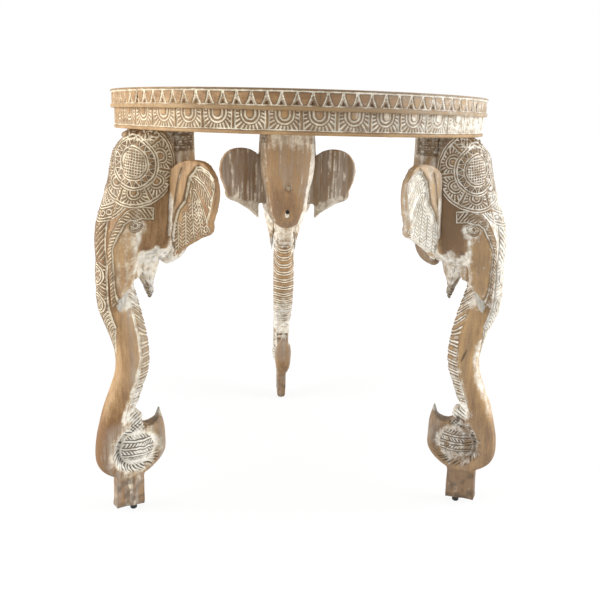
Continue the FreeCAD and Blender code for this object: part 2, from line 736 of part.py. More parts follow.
def make_leg():
    """Every piece of a leg that stands along +X, by the end of its node name."""
    trunk = make_trunk().fuse([make_front_carving(), make_trunk_rings()])
    plank = make_core().fuse([make_jaw(), trunk, make_pot(), make_foot()])
    apron_space = make_apron_space()
    plank = plank.cut(apron_space)
    neck = make_neck()
    cheek_block = make_cheek_block()
    cheek = make_head().fuse(make_head_carving()).common(cheek_block).cut(apron_space)
    tenon = make_tenon()
    cheek = cheek.cut(tenon)
    ear = make_ear_blade().fuse(tenon).removeSplitter()

    stub, stub_hole = make_stub(cheek_block)
    cheek = cheek.cut(stub_hole)

    dowels = []
    for reach, drop in CHEEK_DOWEL_POINTS:
        end = spot(reach, below(drop), HALF_PLANK + CHEEK_DOWEL_DEPTH)
        start = Vector(end.x, -end.y, end.z)
        dowels.append(cylinder(CHEEK_DOWEL_RADIUS, start, end))
        hole = cylinder(CHEEK_DOWEL_RADIUS + FIT, start, end)
        plank = plank.cut(hole)
        cheek = cheek.cut(hole)

    outward = Vector(1, 0, 0)
    plug_start = spot(JOINT_REACH - NECK_SCREW_SEAT, below(NECK_SCREW_DROPS[0]))
    plug_start = plug_start - outward * SCREW_HEAD_HEIGHT
    plug_line = Part.makeLine(plug_start, plug_start - outward * BLOCK).common(neck)
    plug_end = Vector(plug_line.BoundBox.XMin, 0, plug_start.z)
    plug = cylinder(NECK_BORE_RADIUS - FIT, plug_start, plug_end)
    screws = []
    for drop in NECK_SCREW_DROPS:
        seat = spot(JOINT_REACH - NECK_SCREW_SEAT, below(drop))
        screws.append(screw(seat, outward, NECK_SCREW_LENGTH, UP))
        hole = screw_hole(seat, outward, NECK_SCREW_LENGTH, NECK_BORE_RADIUS, BLOCK)
        neck = neck.cut(hole)
        plank = plank.cut(hole)

    top_dowels = []
    for side in (-TOP_DOWEL_SIDE, TOP_DOWEL_SIDE):
        end = spot(TOP_DOWEL_REACH, TOP_UNDERSIDE + TOP_DOWEL_UPPER, side)
        start = spot(TOP_DOWEL_REACH, TOP_UNDERSIDE - TOP_DOWEL_LOWER, side)
        top_dowels.append(cylinder(TOP_DOWEL_RADIUS, start, end))
        neck = neck.cut(cylinder(TOP_DOWEL_RADIUS + FIT, start, end))

    glide, glide_hole = make_glide()
    plank = plank.cut(glide_hole)

    return {
        "plank": plank,
        "cheek_left": cheek,
        "cheek_right": other_side(cheek),
        "neck_block": neck,
        "ear_left": ear,
        "ear_right": other_side(ear),
        "tusk_stubs": Part.makeCompound([stub, other_side(stub)]),
        "glide": glide,
        "neck_screws": Part.makeCompound(screws),
        "neck_plug": plug,
        "cheek_dowels": Part.makeCompound(dowels),
        "top_dowels": Part.makeCompound(top_dowels),
    }


def ring_outline(radius, inner, bottom, top, bead, lip, recess):
    """Half section of a ring or disc with a recessed band between two beads."""
    corners = [Vector(inner, 0, bottom), Vector(radius, 0, bottom),
               Vector(radius, 0, bottom + lip - recess),
               Vector(radius - recess, 0, bottom + lip)]
    if bead > 0:
        corners.append(Vector(radius - recess, 0, top - bead - recess))
        corners.append(Vector(radius, 0, top - bead))
        corners.append(Vector(radius, 0, top))
    else:
        corners.append(Vector(radius - recess, 0, top))
    corners.append(Vector(inner, 0, top))
    return Part.Face(Part.makePolygon(corners + corners[:1]))


def make_top(leg_dowels):
    """Boards of the top and the dowels in their joints."""
    outline = ring_outline(TOP_RADIUS, 0, TOP_UNDERSIDE, TABLE_HEIGHT,
                           RIM_BEAD, RIM_LIP, RIM_RECESS)
    disc = outline.revolve(Vector(0, 0, 0), UP, 360)
    width = 2 * TOP_RADIUS / BOARD_COUNT
    middle = TOP_UNDERSIDE + TOP_THICKNESS / 2
    dowels = []
    holes = []
    for joint in range(1, BOARD_COUNT):
        level = joint * width - TOP_RADIUS
        half_chord = math.sqrt(TOP_RADIUS ** 2 - level ** 2)
        for share in (-BOARD_DOWEL_SPREAD, 0, BOARD_DOWEL_SPREAD):
            start = Vector(half_chord * share, level - BOARD_DOWEL_LENGTH / 2, middle)
            end = start + Vector(0, BOARD_DOWEL_LENGTH, 0)
            dowels.append(cylinder(BOARD_DOWEL_RADIUS, start, end))
            holes.append(cylinder(BOARD_DOWEL_RADIUS + FIT, start, end))
    disc = disc.cut(holes + leg_dowels)
    boards = []
    for index in range(BOARD_COUNT):
        low = Vector(-TOP_RADIUS, index * width - TOP_RADIUS, TOP_UNDERSIDE)
        strip = Part.makeBox(2 * TOP_RADIUS, width, TOP_THICKNESS, low)
        boards.append(disc.common(strip))
    return boards, dowels


def make_apron():
    """Segments of the apron and the screws that hold them up to the top."""
    outline = ring_outline(APRON_RADIUS, SEAT_RADIUS, HEAD_TOP, TOP_UNDERSIDE,
                           0, APRON_LIP, APRON_RECESS)
    angle = 360 / SEGMENT_COUNT
    middle = (APRON_RADIUS + SEAT_RADIUS) / 2
    segment = outline.revolve(Vector(0, 0, 0), UP, angle)
    screws = []
    holes = []
    for spread in (-APRON_SCREW_ANGLE, APRON_SCREW_ANGLE):
        turn = math.radians(angle / 2 + spread)
        radial = Vector(math.cos(turn), math.sin(turn), 0)
        seat = radial * middle + UP * (HEAD_TOP + SCREW_HEAD_HEIGHT)
        screws.append(screw(seat, UP, APRON_SCREW_LENGTH, radial))
        holes.append(screw_hole(seat, UP, APRON_SCREW_LENGTH,
                                SCREW_HEAD_RADIUS + FIT, SCREW_HEAD_HEIGHT * 2))
    segment = segment.cut(holes)
    return segment, screws, holes


def placed(shape, angle):
    """Copy of a piece turned about the axis of the table."""
    copy = shape.copy()
    copy.rotate(Vector(0, 0, 0), UP, angle)
    return copy


nodes = {}
top_holes = []

leg = make_leg()
for number, leg_angle in enumerate(LEG_ANGLES, start=1):
    for ending, piece in leg.items():
        nodes["leg_%d_%s" % (number, ending)] = placed(piece, leg_angle)
    for dowel in leg["top_dowels"].Solids:
        center = dowel.CenterOfMass
        start = Vector(center.x, center.y, TOP_UNDERSIDE - TOP_DOWEL_UPPER)
        end = Vector(center.x, center.y, TOP_UNDERSIDE + TOP_DOWEL_UPPER)
        top_holes.append(placed(cylinder(TOP_DOWEL_RADIUS + FIT, start, end), leg_angle))

apron_segment, segment_screws, segment_holes = make_apron()
apron_screws = []
for index in range(SEGMENT_COUNT):
    turn = index * 360 / SEGMENT_COUNT
    nodes["apron_segment_%d" % (index + 1)] = placed(apron_segment, turn)
    for item in segment_screws:
        apron_screws.append(placed(item, turn))
    for item in segment_holes:
        top_holes.append(placed(item, turn))
nodes["apron_screws"] = Part.makeCompound(apron_screws)

top_boards, board_dowels = make_top(top_holes)
for index, board in enumerate(top_boards, start=1):
    nodes["top_board_%d" % index] = board
nodes["board_dowels"] = Part.makeCompound(board_dowels)

for name, shape in nodes.items():
    shape.translate(Vector(0, AXIS_Y, 0))
    shape.exportStep(os.path.join("parts", name + ".step"))
    box = shape.BoundBox
    print(name, len(shape.Solids), shape.isValid(), round(shape.Volume),
          [round(v, 1) for v in (box.XMin, box.XMax, box.YMin, box.YMax, box.ZMin, box.ZMax)])
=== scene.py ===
import json
import logging
import math
from dataclasses import dataclass, field
from enum import Enum
from typing import Callable, Dict, List, Sequence, Tuple

import bmesh
import bpy
import numpy as np
from mathutils import Matrix, Vector


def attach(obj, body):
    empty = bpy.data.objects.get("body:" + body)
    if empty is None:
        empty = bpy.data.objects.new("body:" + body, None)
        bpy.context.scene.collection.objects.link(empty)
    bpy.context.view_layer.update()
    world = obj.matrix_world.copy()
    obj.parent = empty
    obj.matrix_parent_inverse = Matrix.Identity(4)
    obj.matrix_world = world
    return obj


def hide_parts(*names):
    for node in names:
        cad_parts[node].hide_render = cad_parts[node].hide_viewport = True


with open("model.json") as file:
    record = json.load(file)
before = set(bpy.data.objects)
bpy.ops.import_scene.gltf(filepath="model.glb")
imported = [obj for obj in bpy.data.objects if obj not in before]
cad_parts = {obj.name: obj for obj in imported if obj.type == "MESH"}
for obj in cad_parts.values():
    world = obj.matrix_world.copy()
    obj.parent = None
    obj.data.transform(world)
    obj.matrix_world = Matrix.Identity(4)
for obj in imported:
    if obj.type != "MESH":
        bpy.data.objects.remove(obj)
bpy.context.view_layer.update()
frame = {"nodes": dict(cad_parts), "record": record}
log = logging.getLogger("carved_table")

Array = np.ndarray
Point = Tuple[float, float]
Path = Tuple[Point, ...]
Row = Tuple[float, ...]
Shade = Tuple[int, int, int]
Material = bpy.types.Material
Mesh = bpy.types.Mesh
Socket = bpy.types.NodeSocket
MM = 0.001
BODY = "root"
CELL_PRIMES = (73856093, 19349663, 83492791)
SEED_PRIME = 2654435
SCRAMBLE = 1274126177


class Slot(Enum):
    """Material slots of the record."""

    WOOD = "whitewashed_wood"
    BARE = "hidden_wood"
    TUSK = "grey_tusk"
    STEEL = "steel"
    GLIDE = "black_glide"


class Grain(Enum):
    """Direction that the fibres of a piece run in."""

    UPRIGHT = (1.0, 1.0, 0.055)
    ALONG_BOARD = (0.055, 1.0, 1.0)
    AROUND = (0.16, 0.16, 1.0)


@dataclass(frozen=True)
class Layout:
    """Main sizes of the table in millimetres, the same as in the solids."""

    axis_y: float = -27.75
    top_z: float = 544.0
    top_low: float = 522.0
    top_radius: float = 250.0
    apron_radius: float = 246.5
    apron_inner: float = 222.5
    apron_low: float = 497.0
    half_plank: float = 18.5
    joint_r: float = 207.0
    seat_r: float = 222.5
    leg_angles: Row = (90.0, 210.0, 330.0)


SIZE = Layout()


def ramp(low: float, high: float, x: Array) -> Array:
    """Smooth step from 0 where x is low to 1 where it is high."""
    share = np.clip((x - low) / (high - low), 0.0, 1.0)
    return share * share * (3.0 - 2.0 * share)


def window(x: Array, rise: Point, fall: Point) -> Array:
    """Share that steps up over one stretch and down again over another."""
    return ramp(*rise, x) * ramp(*fall, x)


def cut(distance: Array, width: float) -> Array:
    """Share of a V cut's depth at a distance, of either sign, from its line."""
    return 1.0 - ramp(0.0, width, np.abs(distance))


def half_round(x: Array) -> Array:
    """Height of a half circle over the places from -1 to 1."""
    return np.sqrt(np.clip(1.0 - x ** 2, 0.0, 1.0))


def repeat(x: Array, pitch: float) -> Array:
    """Signed distance from the nearest multiple of a pitch."""
    return (x / pitch - np.round(x / pitch)) * pitch


def speckle(points: Array, size: float, seed: int) -> Array:
    """Smooth noise that is the same on every run.

    Args:
        points: Points, one per row.
        size: Size of a patch, in the unit of the points.
        seed: Picks the pattern.
    Returns:
        Values from 0 to 1, one per point.
    """
    cell = points / size
    base = np.floor(cell).astype(np.int64)
    part = cell - base
    part = part * part * (3.0 - 2.0 * part)
    total = np.zeros(len(points))
    for corner in range(8):
        step = np.array([corner & 1, corner >> 1 & 1, corner >> 2 & 1])
        at = base + step
        code = seed * SEED_PRIME
        for axis, prime in enumerate(CELL_PRIMES):
            code = code ^ at[:, axis] * prime
        code = (code ^ code >> 13) * SCRAMBLE & 0x7FFFFFFF
        value = ((code ^ code >> 16) & 0xFFFF) / 65535.0
        total += value * np.prod(np.where(step, part, 1.0 - part), axis=1)
    return total


def mottle(points: Array, size: float, seed: int) -> Array:
    """Smooth noise with finer noise on top of it."""
    return 0.6 * speckle(points, size, seed) + 0.4 * speckle(points, 0.43 * size, seed + 50)


def wobble(points: Array, size: float, seed: int, reach: float) -> Array:
    """Noise of both signs over a full reach, which makes cuts look made by hand."""
    return reach * (speckle(points, size, seed) - 0.5)


def flat_points(u: Array, v: Array) -> Array:
    """Points of an unrolled surface, one per row."""
    return np.stack([u, v, np.zeros_like(v)], -1)


def along_path(u: Array, v: Array, path: Sequence[Point]) -> Tuple[Array, Array]:
    """Side distance and run of points from a line of straight pieces.

    Args:
        u: First coordinates of the points.
        v: Second coordinates of the points.
        path: Corners of the line.
    Returns:
        Signed distance from the line and length along it.
    """
    best = np.full(len(u), 1e9)
    run = np.zeros(len(u))
    start = 0.0
    for (u0, v0), (u1, v1) in zip(path[:-1], path[1:]):
        du, dv = u1 - u0, v1 - v0
        length = math.hypot(du, dv)
        share = np.clip(((u - u0) * du + (v - v0) * dv) / length ** 2, 0.0, 1.0)
        side = (u - u0 - share * du) * dv - (v - v0 - share * dv) * du
        gap = np.hypot(u - u0 - share * du, v - v0 - share * dv)
        nearer = gap < np.abs(best)
        best = np.where(nearer, np.copysign(gap, side), best)
        run = np.where(nearer, start + share * length, run)
        start += length
    return best, run


class Relief:
    """Cuts, raised wood, paint, wear and painted shade at every point of a carved surface."""

    CARVING = ("depth", "lift", "paint", "stain", "edge")
    FINISH = ("paint", "wash", "stain", "tone", "edge", "haze")
    PAINT_REACH = (0.98, 0.3)
    # Reach of the dark band beside a cut: rubbed wood and painted shade.
    RUBBED_AND_SHADE_REACH = (1.5, 0.2)
    depth: Array
    lift: Array
    paint: Array
    wash: Array
    stain: Array
    tone: Array
    edge: Array
    haze: Array

    def __init__(self, count: int) -> None:
        """Starts with a plain surface.

        Args:
            count: Number of points.
        """
        self.count = count
        for name in self.CARVING + self.FINISH:
            setattr(self, name, np.zeros(count))

    @classmethod
    def on_loops(cls, count: int, size: int, faces: Dict[int, Tuple["Relief", int]]) -> "Relief":
        """Finish of a mesh of loops that is carved on some stretches of each loop.

        Args:
            count: Number of loops.
            size: Number of points in a loop.
            faces: Relief and direction of each carved stretch, by its first place in the loop.
        Returns:
            The finish of all points.
        """
        whole = cls(count * size)
        for name in ("paint", "stain", "edge"):
            grid = np.zeros((count, size))
            for start, (face, direction) in faces.items():
                values = getattr(face, name).reshape(count, -1)[:, ::direction]
                grid[:, start:start + values.shape[1]] = values
            setattr(whole, name, grid.ravel())
        return whole

    def line(self, distance: Array, width: float, depth: float, where: Array = 1.0,
             paint: float = 1.0) -> None:
        """Cuts a line that holds paint, with dark wood along both sides: rubbed wood and painted shade.

        Args:
            distance: Distance from the line.
            width: Half width of the cut.
            depth: Full depth in millimetres.
            where: Share of the line that is there.
            paint: Paint left in the line.
        """
        gap = np.abs(distance)
        none, full = self.PAINT_REACH
        far, near = self.RUBBED_AND_SHADE_REACH
        self.depth = np.maximum(self.depth, cut(gap, width) * where * depth)
        self.paint = np.maximum(self.paint, ramp(none * width, full * width, gap) * where * paint)
        # Dark band beside the cut: rubbed wood and painted shade.
        self.edge = np.maximum(self.edge, ramp(width + far, width + near, gap) * where)

    def pit(self, share: Array, depth: float, stain: float = 0.8) -> None:
        """Cuts a hole that holds no paint, darkened with grime and painted shade.

        Args:
            share: Share of the depth.
            depth: Full depth in millimetres.
            stain: Darkness at full depth.
        """
        self.depth = np.maximum(self.depth, share * depth)
        self.stain = np.maximum(self.stain, share * stain)
        self.paint = self.paint * (1.0 - 0.8 * share)

    def groove(self, distance: Array, width: float, depth: float, where: Array) -> None:
        """Cuts a line that lost its paint, darkened with grime and painted shade."""
        self.pit(ramp(1.3 * width, 0.6 * width, np.abs(distance)) * where, depth, 0.95)

    def raise_up(self, share: Array, height: float) -> None:
        """Lifts the wood by a share of a height in millimetres."""
        self.lift = self.lift + share * height

    def cover(self, share: Array) -> None:
        """Spreads whitewash over a place."""
        self.wash = np.maximum(self.wash, share)

    def veil(self, share: Array) -> None:
        """Leaves a thin grey film of wash on a place."""
        self.haze = np.maximum(self.haze, share)

    def darken(self, share: Array) -> None:
        """Darkens a place: used for grime and stains, and for painted shade."""
        self.stain = np.maximum(self.stain, share)

    def reverse(self, share: Array) -> None:
        """Turns painted lines into dark lines on a pale ground: grime and painted shade in the cuts."""
        self.darken(0.6 * share * self.paint)
        self.paint, self.edge = self.paint * (1.0 - share), self.edge * (1.0 - share)

    def limit(self, where: Array) -> None:
        """Keeps the carving to the places where the share is 1."""
        for name in self.CARVING:
            setattr(self, name, getattr(self, name) * where)

    @property
    def height(self) -> Array:
        """Height of the surface over its plain form in millimetres."""
        return self.lift - self.depth

    def store(self, mesh: Mesh) -> None:
        """Writes the finish to the points of a mesh.

        Args:
            mesh: Mesh that gets one attribute for each kind of finish.
        """
        for name in self.FINISH:
            layer = mesh.attributes.new(name, "FLOAT", "POINT")
            layer.data.foreach_set("value", np.clip(getattr(self, name), 0, 1).astype(np.float32))


@dataclass(frozen=True)
class Arch:
    """Hanging arch with a nested core and leaf strokes round it, in shares of its half width."""

    half: float
    tall: float
    depth: float = 1.3
    core_slim: Point = (0.60, 0.52)
    rings: Path = ((0.31, 0.085), (0.54, 0.075))
    heart: Point = (0.3, 0.16)
    leaf_start: Point = (0.62, 0.70)
    leaf_side: Point = (0.90, 0.86)
    leaf_end: Point = (1.0, 0.93)
    leaf_angle: float = math.pi / 13.0
    leaf_width: float = 0.068
    bar: float = 0.885
    bar_width: float = 0.06
    bar_top: Point = (0.91, 0.95)

    def carve(self, wood: Relief, x: Array, y: Array, where: Array) -> None:
        """Carves the arch.

        Args:
            wood: Carved surface.
            x: Distance from the middle of the arch.
            y: Distance down from the edge that it hangs on.
            where: Share of the carving.
        """
        half, side = self.half, np.abs(x) / self.half
        wide, tall = self.core_slim
        low = np.maximum(0.0, y - 0.20 * self.tall)
        core = np.hypot(x, low * (half * wide) / (self.tall * tall))
        for place, width in self.rings:
            wood.line(core - place * half, width * half, self.depth, where)
        wood.raise_up(ramp(*self.heart, core / half) * where, 0.5)
        turn = np.arctan2(x, y - 0.10 * self.tall + 1e-6)
        leaves = ramp(*self.leaf_start, core / half) * ramp(*self.leaf_side, side)
        leaves = leaves * ramp(*self.leaf_end, y / self.tall)
        leaf = repeat(turn + 0.12 * (core / half - 0.8), self.leaf_angle) * core
        wood.line(leaf, self.leaf_width * half, self.depth * 0.95, where * leaves)
        wood.line(np.abs(x) - self.bar * half, self.bar_width * half, self.depth, where)
        wood.raise_up(ramp(*self.bar_top, side) * where, 0.4)


@dataclass(frozen=True)
class Bricks:
    """Rows of small carved blocks with rough dark joints."""

    row: float = 5.6
    block: float = 7.2
    joint_paint: float = 0.62

    def carve(self, wood: Relief, along: Array, z: Array, where: Array) -> None:
        """Carves the rows.

        Args:
            wood: Carved surface.
            along: Run along the rows.
            z: Height above the floor.
            where: Share of the carving.
        """
        wander = flat_points(along, z)
        z = z + wobble(wander, 9.0, 91, 1.6)
        odd = np.floor(z / self.row) % 2
        joint = repeat(along + 0.5 * self.block * odd, self.block)
        wood.line(repeat(z, self.row), 1.0, 1.1, where, self.joint_paint)
        wood.line(joint, 0.9, 1.0, where, self.joint_paint)
        wood.pit(ramp(0.55, 0.75, speckle(wander, 3.4, 92)) * where, 0.9, 0.4)


class MeshKit:
    """Makes meshes of even faces and turns point arrays into objects."""

    RELAX_STEPS = (0.5, -0.52)
    SETTLE_ROUNDS = 2

    @staticmethod
    def read(items: bpy.types.bpy_prop_collection, name: str) -> Array:
        """Reads one vector of each point or face of a mesh.

        Args:
            items: Points, normals or faces.
            name: Name of the vector.
        Returns:
            The vectors, one per row.
        """
        flat = np.empty(len(items) * 3, np.float32)
        items.foreach_get(name, flat)
        return flat.reshape(-1, 3).astype(float)

    @classmethod
    def points(cls, mesh: Mesh) -> Array:
        """Points of a mesh, one per row, in metres."""
        return cls.read(mesh.vertices, "co")

    @classmethod
    def normals(cls, mesh: Mesh) -> Array:
        """Normals of a mesh's points, one per row."""
        return cls.read(mesh.vertex_normals, "vector")

    @staticmethod
    def place(mesh: Mesh, points: Array) -> None:
        """Moves the points of a mesh."""
        mesh.vertices.foreach_set("co", points.astype(np.float32).ravel())
        mesh.update()

    @classmethod
    def relax(cls, mesh: Mesh, rounds: int, share: Array = 1.0) -> None:
        """Smooths a mesh without shrinking it.

        Args:
            mesh: Mesh that is smoothed.
            rounds: Rounds of smoothing.
            share: How freely every point moves.
        """
        freedom = np.broadcast_to(share, len(mesh.vertices))[:, None]
        pairs = np.empty(len(mesh.edges) * 2, np.int32)
        mesh.edges.foreach_get("vertices", pairs)
        a, b = pairs.reshape(-1, 2).T
        spots = cls.points(mesh)
        size = len(spots)
        degree = np.bincount(a, minlength=size) + np.bincount(b, minlength=size)
        degree = np.maximum(degree, 1)
        for _ in range(rounds):
            for factor in cls.RELAX_STEPS:
                mean = np.empty_like(spots)
                for k in range(3):
                    total = np.bincount(a, spots[b, k], size) + np.bincount(b, spots[a, k], size)
                    mean[:, k] = total / degree
                spots = spots + factor * freedom * (mean - spots)
        cls.place(mesh, spots)

    @classmethod
    def even(cls, node: str, voxel: float, rounds: int) -> Mesh:
        """Copy of a solid's mesh with faces of one size.

        Args:
            node: Name of the solid.
            voxel: Size of a face in millimetres.
            rounds: Rounds of smoothing.
        Returns:
            A new mesh in the frame of the part.
        """
        scratch = bpy.data.objects.new("scratch", frame["nodes"][node].data.copy())
        bpy.context.scene.collection.objects.link(scratch)
        even = scratch.modifiers.new("even", "REMESH")
        even.mode = "VOXEL"
        even.voxel_size = voxel * MM
        graph = bpy.context.evaluated_depsgraph_get()
        mesh = bpy.data.meshes.new_from_object(scratch.evaluated_get(graph))
        copied = scratch.data
        bpy.data.objects.remove(scratch)
        bpy.data.meshes.remove(copied)
        mesh.materials.clear()
        cls.relax(mesh, rounds)
        return mesh

    @classmethod
    def refine(cls, mesh: Mesh, wanted: Callable[[Array, Array], Array]) -> None:
        """Divides the faces of the places that need finer detail.

        Args:
            mesh: Mesh that is divided.
            wanted: Tells from points and normals which faces are divided.
        """
        chosen = wanted(cls.read(mesh.polygons, "center"), cls.read(mesh.polygons, "normal"))
        work = bmesh.new()
        work.from_mesh(mesh)
        work.faces.ensure_lookup_table()
        edges = {e for k in np.nonzero(chosen)[0] for e in work.faces[int(k)].edges}
        bmesh.ops.subdivide_edges(work, edges=list(edges), cuts=1, use_grid_fill=True)
        many = [f for f in work.faces if len(f.verts) > 4]
        bmesh.ops.triangulate(work, faces=many)
        work.to_mesh(mesh)
        work.free()
        cls.relax(mesh, cls.SETTLE_ROUNDS)

    @staticmethod
    def rings(name: str, rows: Array) -> Mesh:
        """Closed mesh from a row of closed loops, with both ends filled.

        Args:
            name: Name of the mesh.
            rows: Points by loop and place in the loop, in metres.
        Returns:
            The new mesh.
        """
        count, size = rows.shape[:2]
        index = np.arange(count * size).reshape(count, size)
        following = np.roll(index, -1, axis=1)
        quads = np.stack([index[:-1], following[:-1], following[1:], index[1:]], -1).reshape(-1, 4)
        faces = quads.tolist()
        faces.append(index[0][::-1].tolist())
        faces.append(index[-1].tolist())
        mesh = bpy.data.meshes.new(name)
        mesh.from_pydata(rows.reshape(-1, 3).tolist(), [], faces)
        work = bmesh.new()
        work.from_mesh(mesh)
        bmesh.ops.recalc_face_normals(work, faces=work.faces)
        work.to_mesh(mesh)
        work.free()
        return mesh

    @staticmethod
    def show(name: str, mesh: Mesh, node: str, slot: Slot, material: Material) -> None:
        """Adds a finished piece in place of its solid.

        Args:
            name: Name of the piece.
            mesh: Its mesh, in the frame of the part.
            node: Solid that it stands for.
            slot: Material slot of the record; not used.
            material: Finish of the piece.
        """
        mesh.materials.clear()
        mesh.materials.append(material)
        mesh.polygons.foreach_set("use_smooth", [True] * len(mesh.polygons))
        mesh.update()
        piece = bpy.data.objects.new(name, mesh)
        bpy.context.scene.collection.objects.link(piece)
        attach(piece, BODY)
        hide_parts(node)
        log.info("%s: %d faces", name, len(mesh.polygons))


class NodeDesk:
    """Lays out the nodes of one material or world."""

    def __init__(self, owner: bpy.types.ID) -> None:
        """Clears the desk of a material or world.

        Args:
            owner: Material or world.
        """
        owner.use_nodes = True
        self.owner = owner
        self.tree = owner.node_tree
        self.tree.nodes.clear()

    def add(self, kind: str, inputs: Dict[object, object] = None, **settings: object) -> bpy.types.Node:
        """Adds one node.

        Args:
            kind: Type of the node.
            inputs: Values or sockets by input name or number.
            settings: Properties of the node.
        Returns:
            The node.
        """
        node = self.tree.nodes.new(kind)
        for name, value in settings.items():
            setattr(node, name, value)
        for key, value in (inputs or {}).items():
            socket = node.inputs[key]
            if isinstance(value, Socket):
                self.tree.links.new(value, socket)
            else:
                socket.default_value = value
        return node

    def math(self, operation: str, first: object, second: object = 0.0, third: object = 0.0) -> Socket:
        """Result of one sum of up to three values or sockets."""
        node = self.add("ShaderNodeMath", {0: first, 1: second, 2: third}, operation=operation)
        return node.outputs[0]

    def weigh(self, *terms: Tuple[object, float]) -> Socket:
        """Sum of values or sockets, each times its weight.

        Args:
            terms: Value and weight of each.
        Returns:
            The sum.
        """
        total = self.math("MULTIPLY", *terms[0])
        for value, weight in terms[1:]:
            total = self.math("MULTIPLY_ADD", value, weight, total)
        return total

    def mix(self, share: object, first: object, second: object) -> Socket:
        """Colour between two colours or sockets."""
        node = self.add("ShaderNodeMix", {0: share, 6: first, 7: second}, data_type="RGBA")
        return node.outputs[2]

    def attribute(self, name: str) -> Socket:
        """Value of a point attribute."""
        return self.add("ShaderNodeAttribute", attribute_name=name).outputs["Fac"]

    def noise(self, where: object, scale: float, detail: float = 3.0, roughness: float = 0.55) -> Socket:
        """Noise from 0 to 1 at a place."""
        inputs = {"Vector": where, "Scale": scale, "Detail": detail, "Roughness": roughness}
        return self.add("ShaderNodeTexNoise", inputs).outputs["Fac"]

    def steps(self, value: object, first: Point, last: Point) -> Socket:
        """Value mapped from one place and grey to another.

        Args:
            value: Value or socket that is mapped.
            first: Lower value and its result.
            last: Upper value and its result.
        Returns:
            The mapped value.
        """
        node = self.add("ShaderNodeValToRGB", {0: value})
        for stop, (place, grey) in zip(node.color_ramp.elements, (first, last)):
            stop.position = place
            stop.color = (grey, grey, grey, 1.0)
        return node.outputs["Color"]


def paint_colour(shade: Shade) -> Row:
    """Linear colour of a shade of red, green and blue from 0 to 255."""
    share = np.array(shade) / 255.0
    return (*np.where(share <= 0.04045, share / 12.92, ((share + 0.055) / 1.055) ** 2.4), 1.0)


class WoodMarks:
    """Noise of the wood that its colour, paint and gloss share."""

    def __init__(self, desk: NodeDesk, grain: Grain) -> None:
        """Lays the patterns out, from the right side of the table to the ragged edge of paint.

        Args:
            desk: Desk of the material.
            grain: Direction of the fibres.
        """
        self.desk = desk
        place = desk.add("ShaderNodeTexCoord").outputs["Object"]
        run = desk.add("ShaderNodeMapping", {"Vector": place, "Scale": grain.value}).outputs[0]
        across = desk.add("ShaderNodeSeparateXYZ", {0: place}).outputs[0]
        # Share of the right side, which gets greyer wood and colder paint than the warm golden left: partly
        # the wood's own colour, partly painted light.
        self.right = desk.steps(desk.math("MULTIPLY_ADD", across, 2.0, 0.5), (0.2, 0.0), (0.8, 1.0))
        self.fibre = desk.noise(run, 900.0, 4.0, 0.6)
        self.streak = desk.noise(run, 170.0)
        self.cloud = desk.noise(place, 22.0, 4.0, 0.6)
        self.fleck = desk.noise(place, 420.0, 4.0, 0.65)
        self.worn = desk.noise(place, 130.0, 3.0, 0.6)
        self.ragged = desk.math("SUBTRACT", desk.weigh((self.worn, 0.9), (self.fleck, 0.7)), 0.8)


